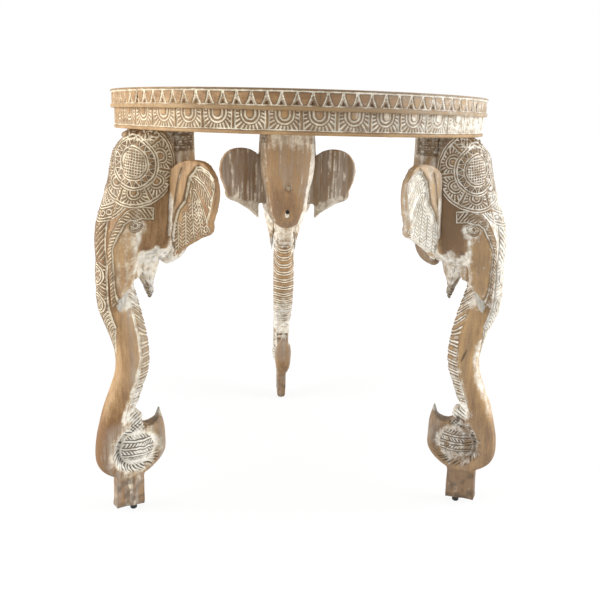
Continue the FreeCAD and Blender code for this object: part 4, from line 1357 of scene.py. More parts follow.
@dataclass
class HeadCloth:
    """Carved headcloth, brow and rope band, laid out on the unrolled skin."""

    skin: HeadSkin
    disc: Disc = Disc()
    strip: FrontStrip = FrontStrip()
    strip_top: float = 436.0
    strip_half: float = 42.0
    brow: Path = ((230.5, 401.5), (250.0, 403.0), (262.0, 400.0), (270.0, 392.0), (276.5, 379.0))
    brow_half: float = 6.0
    rope_half: float = 3.5
    rope_heights: Row = (361.0, 336.0, 306.0, 281.0, 262.0)
    rope_inset: float = 4.8
    twist: float = 4.4
    eye: Point = (256.0, 388.5)
    eye_half: Point = (7.4, 4.4)
    eye_lean: float = 0.22
    pupil: float = 2.6
    knob_pitch: float = 11.0
    knob_height: float = 490.5
    knob_radius: float = 5.4
    knob_lift: float = 2.4
    knob_hole: float = 494.0

    def carve(self, wood: Relief, q: Array, x: Array, z: Array) -> None:
        """Carves everything that lies on the head's skin.

        Args:
            wood: Carved surface.
            q: Unrolled place from the rear.
            x: Unrolled distance from the front's middle.
            z: Height above the floor.
        """
        wander = np.stack([q, x, z], -1)
        q = q + wobble(wander, 15.0, 41, 1.2) + wobble(wander, 5.0, 43, 0.9)
        z = z + wobble(wander, 15.0, 42, 1.2) + wobble(wander, 5.0, 44, 0.9)
        self.disc.carve(wood, q, z)
        below = ramp(self.disc.radius + 0.8, self.disc.radius + 2.2, self.disc.distance(q, z))
        side, run = along_path(q, z, self.path())
        half = self.brow_half - (self.brow_half - self.rope_half) * ramp(26.0, 44.0, run)
        over = np.maximum(np.abs(side) - half, self.brow_half - run)
        wood.raise_up(ramp(0.4, -0.8, over) * below, 1.0)
        wood.line(over - 0.7, 1.2, 1.1, below)
        wood.line(repeat(run + 0.8 * side, self.twist), 1.1, 1.2, ramp(-0.3, -1.1, over) * below)
        front = (x < self.strip_half) & (np.abs(side) > self.rope_inset) & (q > self.front_limit(z))
        self.strip.carve(wood, x, z, below * front * (z < self.strip_top))
        self.look(wood, q, z)
        self.crown(wood, x, z)

    def path(self) -> List[Point]:
        """Corners of the middle line of brow and rope band on the unrolled skin."""
        edge = self.skin.edge(np.array(self.rope_heights)) - self.rope_inset
        return self.skin.spread(self.brow) + list(zip(edge, self.rope_heights))

    def front_limit(self, z: Array) -> Array:
        """Unrolled place of the band by height, behind which the cheek is smooth."""
        places, heights = zip(*self.path()[:1:-1])
        return np.interp(z, heights, places)

    def look(self, wood: Relief, q: Array, z: Array) -> None:
        """Carves the almond eye under the brow.

        Args:
            wood: Carved surface.
            q: Unrolled place from the rear.
            z: Height above the floor.
        """
        (place, height), = self.skin.spread((self.eye,))
        u, v = q - place, z - height + self.eye_lean * (q - place)
        wide, tall = self.eye_half
        lid = np.abs(v) - tall * (1.0 - (u / wide) ** 2)
        near = ramp(8.6, 7.6, np.abs(u))
        wood.raise_up(ramp(0.5, -2.5, lid) * near, 0.9)
        wood.line(lid, 1.1, 1.3, near, 0.9)
        ball = np.hypot(u, v)
        wood.line(ball - self.pupil, 0.8, 0.7, ramp(4.0, 3.0, ball))
        wood.pit(ramp(1.4, 0.7, ball), 0.6, 0.7)
        wood.line(lid - 2.8, 0.9, 0.6, ramp(8.4, 7.4, np.abs(u)) * (v < 0), 0.6)

    def crown(self, wood: Relief, x: Array, z: Array) -> None:
        """Carves a row of knobs where the head meets the apron.

        Args:
            wood: Carved surface.
            x: Unrolled distance from the front's middle.
            z: Height above the floor.
        """
        pitch = self.knob_pitch
        row = ramp(44.0, 40.0, x)
        knob = np.hypot(repeat(x, pitch), z - self.knob_height)
        wood.raise_up(ramp(5.2, 1.2, knob) * row, self.knob_lift)
        wood.line(knob - self.knob_radius, 1.3, 1.2, row)
        hole = np.hypot(repeat(x - 0.5 * pitch, pitch), z - self.knob_hole)
        wood.pit(ramp(2.2, 1.0, hole) * row, 1.6, 0.4)


@dataclass
class LegPiece:
    """One carved piece of a leg: made for the first leg and turned to the others."""

    finishes: Finishes
    part: str
    voxel: float
    rounds: int = 6
    plane_rounds: int = 90
    crown: Point = (474.0, 497.0)
    crown_draw: float = 0.25
    apron_edge: Point = (498.5, 496.5)

    def crown_taper(self, spots: Spots) -> Array:
        """Outward shift that draws the top of the head in under the apron."""
        return -self.crown_draw * ramp(*self.crown, spots.z) * np.maximum(spots.r - SIZE.seat_r, 0.0)

    def planed(self, spots: Spots) -> Array:
        """Share of the solid's rough carving that is planed off before the fine carving."""
        return np.zeros(len(spots.r))

    def reshape(self, spots: Spots) -> Array:
        """Shift of every point that softens the plain form, in the leg's directions."""
        return spots.shift()

    def seen(self, spots: Spots) -> Array:
        """Places that get faces of half the size."""
        return np.ones(len(spots.r), bool)

    def detailed(self, spots: Spots) -> Array:
        """Places that get faces of a quarter of the size."""
        return self.seen(spots)

    def carve(self, spots: Spots) -> Relief:
        """Carves the piece."""
        return Relief(len(spots.r))

    def tint(self, wood: Relief, spots: Spots, tone: LegTone) -> None:
        """Spreads whitewash and age over the piece for one leg."""

    def finish(self) -> Tuple[Slot, Material]:
        """Slot and material of the piece."""
        return Slot.WOOD, self.finishes.upright

    def build(self) -> None:
        """Makes the piece for all three legs."""
        mesh = MeshKit.even("leg_1_" + self.part, self.voxel, self.rounds)
        MeshKit.relax(mesh, self.plane_rounds, self.planed(Spots.on(mesh)))
        shift = self.reshape(Spots.on(mesh))
        moved = np.stack([-shift[:, 1], shift[:, 0], shift[:, 2]], -1) * MM
        MeshKit.place(mesh, MeshKit.points(mesh) + moved)
        MeshKit.relax(mesh, MeshKit.SETTLE_ROUNDS)
        MeshKit.refine(mesh, lambda p, n: self.seen(Spots.of(p, n)))
        MeshKit.refine(mesh, lambda p, n: self.detailed(Spots.of(p, n)))
        spots = Spots.on(mesh)
        wood = self.carve(spots)
        carved = MeshKit.points(mesh) + MeshKit.normals(mesh) * wood.height[:, None] * MM
        for leg, (angle, tone) in enumerate(zip(SIZE.leg_angles, LEG_TONES), start=1):
            self.place(leg, angle, mesh.copy(), carved, wood, spots, tone)
        bpy.data.meshes.remove(mesh)

    def place(self, leg: int, angle: float, mesh: Mesh, carved: Array, wood: Relief,
              spots: Spots, tone: LegTone) -> None:
        """Adds the piece of one leg.

        Args:
            leg: Number of the leg.
            angle: Direction of the leg in degrees.
            mesh: Mesh of the piece.
            carved: Its carved points for the first leg.
            wood: What was carved.
            spots: Plain points and normals.
            tone: How this leg was painted.
        """
        turn = math.radians(angle - SIZE.leg_angles[0])
        x, y = carved[:, 0], carved[:, 1] - SIZE.axis_y * MM
        spun = np.stack([x * math.cos(turn) - y * math.sin(turn),
                         x * math.sin(turn) + y * math.cos(turn) + SIZE.axis_y * MM, carved[:, 2]], -1)
        MeshKit.place(mesh, spun)
        coat = Relief(wood.count)
        patch = mottle(spots.table, 14.0, tone.seed)
        coat.paint = wood.paint * (0.55 + 0.6 * patch)
        coat.stain = wood.stain.copy()
        coat.edge = wood.edge * tone.crisp
        coat.tone = np.full(wood.count, 0.3 + tone.tone)
        coat.wash = np.full(wood.count, 0.12 + tone.wash)
        self.tint(coat, spots, tone)
        coat.store(mesh)
        name = "leg_%d_%s" % (leg, self.part)
        mesh.name = name
        MeshKit.show(name + "_carved", mesh, name, *self.finish())


@dataclass
class Cheek(LegPiece):
    """One side of the head, outside the centre plank."""

    cloth: HeadCloth = None
    low_edge: Path = ((200.0, 344.0), (229.5, 339.0), (250.0, 340.0), (254.0, 318.0), (295.0, 298.0))
    low_reach: float = 30.0
    sheath_drop: float = 16.0
    eye_patch: Point = (254.0, 386.0)
    disc_edge: Point = (51.0, 53.0)

    def outer(self, spots: Spots) -> Array:
        """Share of a point's skin that faces outward."""
        away = spots.side * spots.t - SIZE.half_plank
        return ramp(1.0, 3.0, away) * ramp(0.05, 0.3, np.hypot(spots.nr, spots.nt))

    def planed(self, spots: Spots) -> Array:
        """Outer skin, short of the edges."""
        away = np.abs(spots.t) - SIZE.half_plank
        return ramp(2.0, 7.0, away) * ramp(490.0, 480.0, spots.z) * ramp(210.0, 216.0, spots.r)

    def reshape(self, spots: Spots) -> Array:
        """Draws the lower edge in towards the jaw, the sheath down and the crown in.

        Args:
            spots: Points and normals.
        Returns:
            The shift.
        """
        shift = spots.shift()
        over = spots.z - np.interp(spots.r, *zip(*self.low_edge))
        near = 1.0 - ramp(0.0, self.low_reach, over)
        away = np.abs(spots.t) - SIZE.half_plank
        rear = ramp(262.0, 244.0, spots.r)
        shift[:, 0] = self.crown_taper(spots)
        shift[:, 1] = -spots.side * away * near ** 1.7 * (0.35 + 0.5 * rear)
        shift[:, 2] = -self.sheath_drop * near * ramp(254.0, 279.0, spots.r)
        return shift

    def seen(self, spots: Spots) -> Array:
        """Outer skin of the cheek."""
        return self.outer(spots) > 0.3

    def carve(self, spots: Spots) -> Relief:
        """Carves headcloth, brow, rope band and eye, a rough jaw and the collar's end.

        Args:
            spots: Points and normals.
        Returns:
            What was carved.
        """
        wood = Relief(len(spots.r))
        r, z = spots.r, spots.z
        q = self.cloth.skin.run(r, spots.t, z)
        x = SIZE.half_plank + self.cloth.skin.edge(z) - q
        self.cloth.carve(wood, q, x, z)
        wood.limit(self.outer(spots) * ramp(*self.apron_edge, z))
        rough = wobble(spots.table, 5.0, 71, 1.0)
        jaw = ramp(370.0, 352.0, z) * ramp(258.0, 246.0, r)
        wood.raise_up(jaw * rough, 1.8)
        # Darker in the sunk spots of the rough jaw: grime and painted shade.
        wood.darken(0.4 * jaw * ramp(0.1, 0.3, -rough))
        wood.raise_up(wobble(spots.table, 16.0, 72, 1.0), 0.5)
        outside = ramp(51.5, 53.0, self.cloth.disc.distance(q, z))
        collar = ramp(473.0, 476.0, z) * ramp(240.0, 236.0, r) * outside
        Bricks().carve(wood, r, z, collar)
        return wood

    def tint(self, wood: Relief, spots: Spots, tone: LegTone) -> None:
        """Pale headcloth, brown cheek, white jaw, and a grey collar with painted shade under the apron.

        Args:
            wood: Finish of the piece.
            spots: Points and normals.
            tone: How the leg was painted.
        """
        r, z, cloth = spots.r, spots.z, self.cloth
        q = cloth.skin.run(r, spots.t, z)
        rho = cloth.disc.distance(q, z)
        outside = ramp(*self.disc_edge, rho)
        ahead = ramp(-9.0, -5.0, q - cloth.front_limit(z)) * ramp(412.0, 408.0, z)
        ahead = np.maximum(ahead, ramp(52.0, 49.5, rho))
        ahead = np.maximum(ahead, ramp(425.0, 435.0, z))
        rear = 1.0 - ahead
        patch = wobble(spots.table, 18.0, tone.seed + 1, 1.0)
        brown = rear * ramp(254.0, 244.0, r + 10.0 * patch) * ramp(214.0, 222.0, r)
        wood.tone += tone.cheek * brown + 0.1 * ahead
        side, _ = along_path(q, z, cloth.path())
        strip = ahead * outside * ramp(430.0, 420.0, z) * (1.0 - 0.8 * ramp(8.0, 6.0, np.abs(side)))
        wood.wash = wood.wash + tone.crown * (ahead - strip) + tone.strip * strip
        wood.reverse(tone.caked * strip)
        smoke = 0.3 + 0.9 * mottle(spots.drawn(0.4), 7.0, tone.seed + 2)
        haze = (rear - brown) * (tone.smoke + 0.5 * np.exp(-((r - self.eye_patch[0]) / 5.0) ** 2))
        eye = 0.5 * ramp(17.0, 6.0, spots.from_point(self.eye_patch)) * rear
        wood.wash = wood.wash + np.maximum(haze * smoke, eye)
        jaw = ramp(364.0, 352.0, z + wobble(spots.table, 11.0, tone.seed + 3, 16.0))
        wood.cover(jaw * ramp(261.0, 250.0, r) * (0.5 + 0.5 * tone.pot))
        root = ramp(219.0, 212.0, r + 3.0 * patch) * ramp(452.0, 430.0, z)
        wood.cover(0.85 * root)
        # Grey film, and painted shade under the apron, at the rear top of the cheek.
        shade = ramp(430.0, 450.0, z) * ramp(240.0, 225.0, r) * outside
        wood.veil(0.9 * shade)
        wood.darken(0.25 * shade)
        wood.paint = wood.paint * (1.0 - 1.2 * tone.strip * shade)
        wood.veil((rear - brown) * 0.5 * tone.smoke)


@dataclass
class Plank(LegPiece):
    """Centre plank with the front strip, trunk, curl, pot and foot block."""

    cloth: HeadCloth = None
    strip_tip: float = 222.0
    strip_slope: float = 2.5
    strip_lift: float = 0.9
    lips: Tuple[Path, ...] = (((239.0, 345.0), (241.0, 332.0), (237.0, 319.0), (230.0, 306.0)),
                              ((239.0, 345.0), (233.5, 334.0), (231.0, 320.0), (227.5, 305.0)))
    lip_middle: Path = ((298.0, 226.5), (320.0, 233.0), (336.0, 239.0))
    lip_front: Path = ((290.0, 236.0), (306.0, 243.0), (326.0, 250.0))
    lip_slim: float = 0.38
    inner_edge: Path = ((140.0, 254.0), (156.0, 248.0), (185.9, 237.5), (215.8, 231.9), (245.7, 234.5),
                        (271.0, 239.5), (306.0, 248.5))
    ring_pitch: float = 13.0
    ring_lines: Point = (0.0, 4.4)
    ring_width: float = 15.0
    crack: Point = (255.0, 218.0)
    knot: Point = (253.5, 127.0)
    pot: Point = (253.0, 91.0)
    pot_open: float = 0.35
    pot_bulge: float = 2.2
    pot_hollow: float = 4.6
    pot_bare: float = 0.56
    band_pitch: float = 10.0
    band_half: float = 1.9
    fan_angle: float = math.pi / 17.0
    knob: Point = (249.0, 133.0)
    knob_paint: Point = (250.0, 130.0)
    knob_lines: Point = (128.0, 141.0)
    horn_slim: float = 0.42

    def pot_polar(self, spots: Spots) -> Tuple[Array, Array]:
        """Distance and direction from the middle of the pot."""
        dr, dz = spots.r - self.pot[0], spots.z - self.pot[1]
        return np.hypot(dr, dz), np.arctan2(dz, dr)

    def tail(self, spots: Spots) -> Array:
        """Height over the pointed end of the front strip."""
        return spots.z - self.strip_tip - self.strip_slope * np.abs(spots.t)

    def strip(self, spots: Spots) -> Array:
        """Share of the carved strip down the front, which ends in a point."""
        return ramp(0.3, 0.5, spots.nr) * ramp(-1.5, 1.5, self.tail(spots)) * ramp(235.0, 245.0, spots.r)

    def away(self, spots: Spots) -> Array:
        """Distance outward from the trunk's inner edge."""
        return spots.r - np.interp(spots.z, *zip(*self.inner_edge))

    def reshape(self, spots: Spots) -> Array:
        """Rounds the pot, sinks the hollow round it, slims horn and lip, and draws the crown in.

        Args:
            spots: Points and normals.
        Returns:
            The shift.
        """
        shift = spots.shift()
        r, z = spots.r, spots.z
        rho, turn = self.pot_polar(spots)
        side = np.sign(spots.t) * ramp(0.3, 0.7, np.abs(spots.nt))
        open_side = ramp(1.9, 1.2, np.abs(turn + self.pot_open))
        hollow = np.exp(-((rho - 27.0) / 4.2) ** 2) * (0.35 + 0.65 * open_side) * ramp(122.0, 112.0, z)
        bulge = np.clip(1.0 - (rho / 25.0) ** 2, 0.0, 1.0)
        horn = self.horn_slim * window(z, (110.0, 128.0), (145.0, 142.0)) * ramp(232.0, 224.0, r)
        middle = np.interp(z, *zip(*self.lip_middle))
        front = np.interp(z, *zip(*self.lip_front))
        slim = self.lip_slim * window(z, (284.0, 288.0), (328.0, 304.0)) * ramp(-1.5, 1.5, front - r)
        shift[:, 0] = self.crown_taper(spots) - slim * (r - middle)
        shift[:, 1] = side * (self.pot_bulge * bulge - self.pot_hollow * hollow) - horn * spots.t
        return shift

    def planed(self, spots: Spots) -> Array:
        """Front, ringed side of the trunk, knob and pot.

        Args:
            spots: Points and normals.
        Returns:
            Share that is planed.
        """
        rho, _ = self.pot_polar(spots)
        trunk = window(spots.z, (148.0, 156.0), (330.0, 322.0))
        front = ramp(0.2, 0.6, spots.nr) * window(spots.z, (270.0, 280.0), (470.0, 460.0))
        knob = 0.7 * ramp(16.0, 10.0, spots.from_point(self.knob))
        return np.clip(trunk + front + knob + ramp(30.0, 26.0, rho), 0.0, 1.0)

    def seen(self, spots: Spots) -> Array:
        """Front strip and everything below the cheeks."""
        return (self.strip(spots) > 0.1) | (spots.z < 345.0)

    def detailed(self, spots: Spots) -> Array:
        """Front strip, ringed underside of the trunk, and the pot."""
        ringed = (spots.z < 330.0) & (spots.z > 138.0) & (self.away(spots) < self.ring_width + 2.0)
        return (self.strip(spots) > 0.1) | ringed | (self.pot_polar(spots)[0] < 36.0)

    def carve(self, spots: Spots) -> Relief:
        """Carves strip, rings, pot and lips, with a crack and a knot on one side.

        Args:
            spots: Points and normals.
        Returns:
            What was carved.
        """
        wood = Relief(len(spots.r))
        r, x, z = spots.r, np.abs(spots.t), spots.z
        q = self.cloth.skin.edge(np.maximum(z, 286.0)) + SIZE.half_plank - x
        self.cloth.carve(wood, q, x, z)
        wood.raise_up(np.ones_like(x), self.strip_lift)
        wood.limit(self.strip(spots) * ramp(*self.apron_edge, z))
        low_front = ramp(0.5, 0.7, spots.nr) * (z < 300.0) * (r > 240.0)
        wood.line(self.tail(spots) / 2.7, 1.2, 0.9, low_front)
        self.rings(wood, spots)
        self.pot_cuts(wood, spots)
        worn = ramp(0.3, 0.7, speckle(spots.table, 6.0, 85)) * ramp(0.1, 0.3, np.abs(spots.nt))
        for lip in self.lips:
            gap, _ = along_path(r, z, lip)
            wood.groove(gap, 0.7, 1.0, 0.7 * worn)
        drop = z - self.crack[1]
        crack = np.hypot(r - self.crack[0] - 0.35 * drop, 0.13 * drop)
        knot = np.hypot(r - self.knot[0], 0.7 * (z - self.knot[1]))
        flaw = np.maximum(ramp(1.7, 0.7, crack), ramp(3.4, 2.0, knot))
        wood.pit(flaw * (spots.t < 0.0) * (np.abs(spots.nt) > 0.2), 1.5, 0.85)
        wood.raise_up(wobble(spots.table, 13.0, 81, 1.0), 0.7)
        return wood

    def rings(self, wood: Relief, spots: Spots) -> None:
        """Carves the ringed underside of the trunk and the line beside it.

        Args:
            wood: Carved surface.
            spots: Points and normals.
        """
        r, z, pitch = spots.r, spots.z, self.ring_pitch
        away = self.away(spots)
        back = ramp(0.2, 0.8, -spots.nr)
        beside = cut(away - self.ring_width, 1.6) * window(z, (128.0, 136.0), (345.0, 325.0))
        wood.depth = np.maximum(wood.depth, beside)
        lean = 1.2 * ramp(225.0, 275.0, z) - 0.6
        sag = 5.0 * (1.0 - (spots.t / 18.0) ** 2) * back
        place = z - lean * np.maximum(away, 0.0) - 0.02 * away ** 2 + sag
        under = ramp(13.4, 12.2, away) * window(z, (146.0, 156.0), (318.0, 300.0))
        wood.raise_up(np.abs(np.sin(math.pi * place / pitch)) * under, 1.0)
        for offset in self.ring_lines:
            wood.line(repeat(place - offset, pitch), 1.6, 1.4, under)
        gap = ramp(2.6, 3.4, np.abs(repeat(place - 0.5 * sum(self.ring_lines), pitch)))
        wood.darken(0.3 * under * gap * ramp(250.0, 180.0, z))
        for height in self.knob_lines:
            wood.groove(z - height, 1.0, 1.2, back * (r > 236.0) * (r < 262.0))

    def pot_cuts(self, wood: Relief, spots: Spots) -> None:
        """Carves bands on the pot, leaf strokes round its hollow and strokes on its knob.

        Args:
            wood: Carved surface.
            spots: Points and normals.
        """
        r, z = spots.r, spots.z
        rho, turn = self.pot_polar(spots)
        side = ramp(0.15, 0.4, np.abs(spots.nt))
        turn = turn + wobble(spots.table, 7.0, 83, 0.2)
        level = z - self.pot[1] - 0.05 * (r - self.pot[0]) + wobble(spots.table, 6.0, 84, 2.0)
        uneven = 0.35 + 0.65 * ramp(0.3, 0.6, speckle(spots.table, 6.0, 86))
        ball = ramp(23.0, 21.5, rho) * side
        gap = repeat(level - 2.0, self.band_pitch)
        for line in (-self.band_half, self.band_half):
            wood.groove(gap - line, 0.8, 1.0, ball * (level < 15.0) * (level > -13.0))
        even = np.round((level - 7.0) / self.band_pitch) % 2 == 0
        slant = r + np.where(even, 0.9, -0.9) * level
        wood.groove(repeat(slant, 4.4), 1.0, 1.2, uneven * ball * ramp(2.4, 3.2, np.abs(gap)))
        ring = window(rho, (23.5, 25.0), (36.0, 32.0)) * ramp(2.6, 2.2, np.abs(turn + self.pot_open)) * side
        fan = repeat(turn + 0.03 * (rho - 28.0), self.fan_angle) * rho
        wood.groove(fan, 1.1, 1.5, uneven * ring)
        knob = window(z, (112.0, 117.0), (146.0, 142.0)) * window(r, (240.0, 243.0), (264.0, 260.0))
        knob = knob * ramp(0.1, 0.3, np.abs(spots.nt))
        stroke = z + 0.7 * r + wobble(spots.table, 9.0, 87, 5.0)
        wood.groove(repeat(stroke, 5.2), 1.0, 1.2, uneven * knob)

    def tint(self, wood: Relief, spots: Spots, tone: LegTone) -> None:
        """Golden trunk, white pot, grey horn and a brown foot with thin streaks and dark patches, darker
        near the floor.

        Args:
            wood: Finish of the piece.
            spots: Points and normals.
            tone: How the leg was painted.
        """
        patch = mottle(spots.table, 9.0, tone.seed + 4)
        drag = mottle(spots.drawn(0.25), 6.0, tone.seed + 5)
        strip, z = self.strip(spots), spots.z
        wood.tone += 0.28 * strip + 0.25 * ramp(200.0, 150.0, z)
        wood.wash = wood.wash + tone.strip * strip
        wood.reverse(tone.caked * strip * ramp(440.0, 425.0, z))
        self.tint_trunk(wood, spots, tone, patch, drag)
        self.tint_pot(wood, spots, tone, patch)
        foot = ramp(54.0, 44.0, z)
        wood.tone += (1.3 - 1.2 * tone.pot) * foot
        wood.veil(tone.film * foot * (0.2 + 1.1 * drag))
        wood.cover(0.7 * tone.film * ramp(20.0, 12.0, z) * ramp(0.45, 0.7, patch))
        wood.cover(0.8 * tone.pot * drag * window(z, (30.0, 48.0), (66.0, 54.0)))
        wood.cover(foot * (0.3 + 0.32 * tone.film) * ramp(0.52, 0.72, drag))
        # Dark patches on the foot, and darker still near the floor.
        wood.darken(0.55 * ramp(0.3, 0.75, patch) * foot + 0.25 * ramp(14.0, 9.0, z))

    def tint_trunk(self, wood: Relief, spots: Spots, tone: LegTone, patch: Array, drag: Array) -> None:
        """Paints the trunk: film, a painted highlight on its outward-facing bend, pale rings and a white
        chin and jaw.

        Args:
            wood: Finish of the plank.
            spots: Points and normals.
            tone: How the leg was painted.
            patch: Noise in patches.
            drag: Noise in streaks.
        """
        r, z = spots.r, spots.z
        away = self.away(spots)
        flat = ramp(0.3, 0.7, np.abs(spots.nt))
        wood.veil(tone.film * flat * (0.1 + drag) * ramp(38.0, 14.0, away) * ramp(150.0, 200.0, z))
        # Painted highlight down the outward face of the trunk: lighter wood and white wash.
        painted_highlight = (1.0 - tone.pot) * ramp(-0.05, 0.9, spots.nr) * window(z, (105.0, 150.0), (268.0, 235.0))
        wood.tone -= 1.2 * painted_highlight
        wood.cover(1.35 * painted_highlight)
        under = ramp(17.0, 13.0, away) * window(z, (118.0, 135.0), (335.0, 305.0))
        wood.cover((0.25 + 0.3 * tone.strip + 0.7 * tone.pot * ramp(225.0, 165.0, z)) * under)
        bend = window(z, (50.0, 60.0), (160.0, 110.0)) * ramp(256.0, 270.0, r)
        wood.tone += (tone.pot - self.pot_bare) * bend
        wide = 4.0 + 6.0 * ramp(230.0, 160.0, z)
        beside = ramp(1.0, 0.2, np.abs(away - self.ring_width) / wide)
        beside = beside * window(z, (118.0, 135.0), (345.0, 320.0))
        wood.cover(tone.pot * beside * (0.5 + 0.6 * patch))
        chin = ramp(262.0, 290.0, z + 24.0 * (patch - 0.5)) * ramp(325.0, 315.0, z)
        wood.cover((0.4 + 0.55 * tone.pot) * chin * flat * ramp(40.0, 20.0, away))
        jaw = window(z, (283.0, 296.0), (372.0, 355.0)) * ramp(255.0, 246.0, r)
        wood.cover(jaw * (0.2 + 0.4 * tone.pot + 0.4 * patch))
        wood.darken(jaw * (0.3 * ramp(318.0, 298.0, z) + 0.2 * (1.0 - tone.pot)))

    def tint_pot(self, wood: Relief, spots: Spots, tone: LegTone, patch: Array) -> None:
        """Paints the pot, its hollow, its knob and the grey horn, with painted shade in the hollow, on the
        horn's inner face and in the dip behind the horn.

        Args:
            wood: Finish of the plank.
            spots: Points and normals.
            tone: How the leg was painted.
            patch: Noise in patches.
        """
        r, z = spots.r, spots.z
        rho, turn = self.pot_polar(spots)
        flat = ramp(0.3, 0.7, np.abs(spots.nt))
        wood.veil(0.7 * tone.film * flat * ramp(58.0, 38.0, rho + 10.0 * (patch - 0.5)))
        fade = np.where(np.abs(turn) < 1.9, 46.0, 40.0) + 10.0 * (patch - 0.5)
        wood.cover(np.clip((fade - rho) / 16.0, 0.0, 1.0) * tone.pot)
        wood.darken((0.95 - tone.pot) * 0.5 * ramp(38.0, 30.0, rho))
        knob = ramp(16.0, 6.0, spots.from_point(self.knob_paint))
        wood.cover(tone.pot * knob * (1.0 - 0.55 * ramp(0.2, 0.7, -spots.nr)))
        # Painted shade in the hollow round the pot.
        hollow = np.exp(-((rho - 26.0) / 3.0) ** 2) * ramp(1.1, 0.5, np.abs(turn))
        wood.darken(0.55 * hollow * (np.abs(spots.nt) > 0.2))
        horn = ramp(236.0, 224.0, r) * window(z, (76.0, 100.0), (150.0, 140.0))
        wood.veil(horn * (0.2 + 0.6 * patch))
        # The horn's own grey, darker towards its top, and painted shade on its inner face.
        inside = ramp(0.0, 0.5, spots.nr) * ramp(110.0, 120.0, z)
        wood.darken(horn * np.maximum(0.12 + 0.35 * ramp(118.0, 134.0, z), 0.65 * inside))
        # Painted shade in the dip behind the horn.
        valley_shade = ramp(0.2, 0.6, spots.nz) * window(z, (114.0, 117.0), (134.0, 128.0))
        wood.darken(0.45 * valley_shade * window(r, (218.0, 222.0), (246.0, 242.0)))


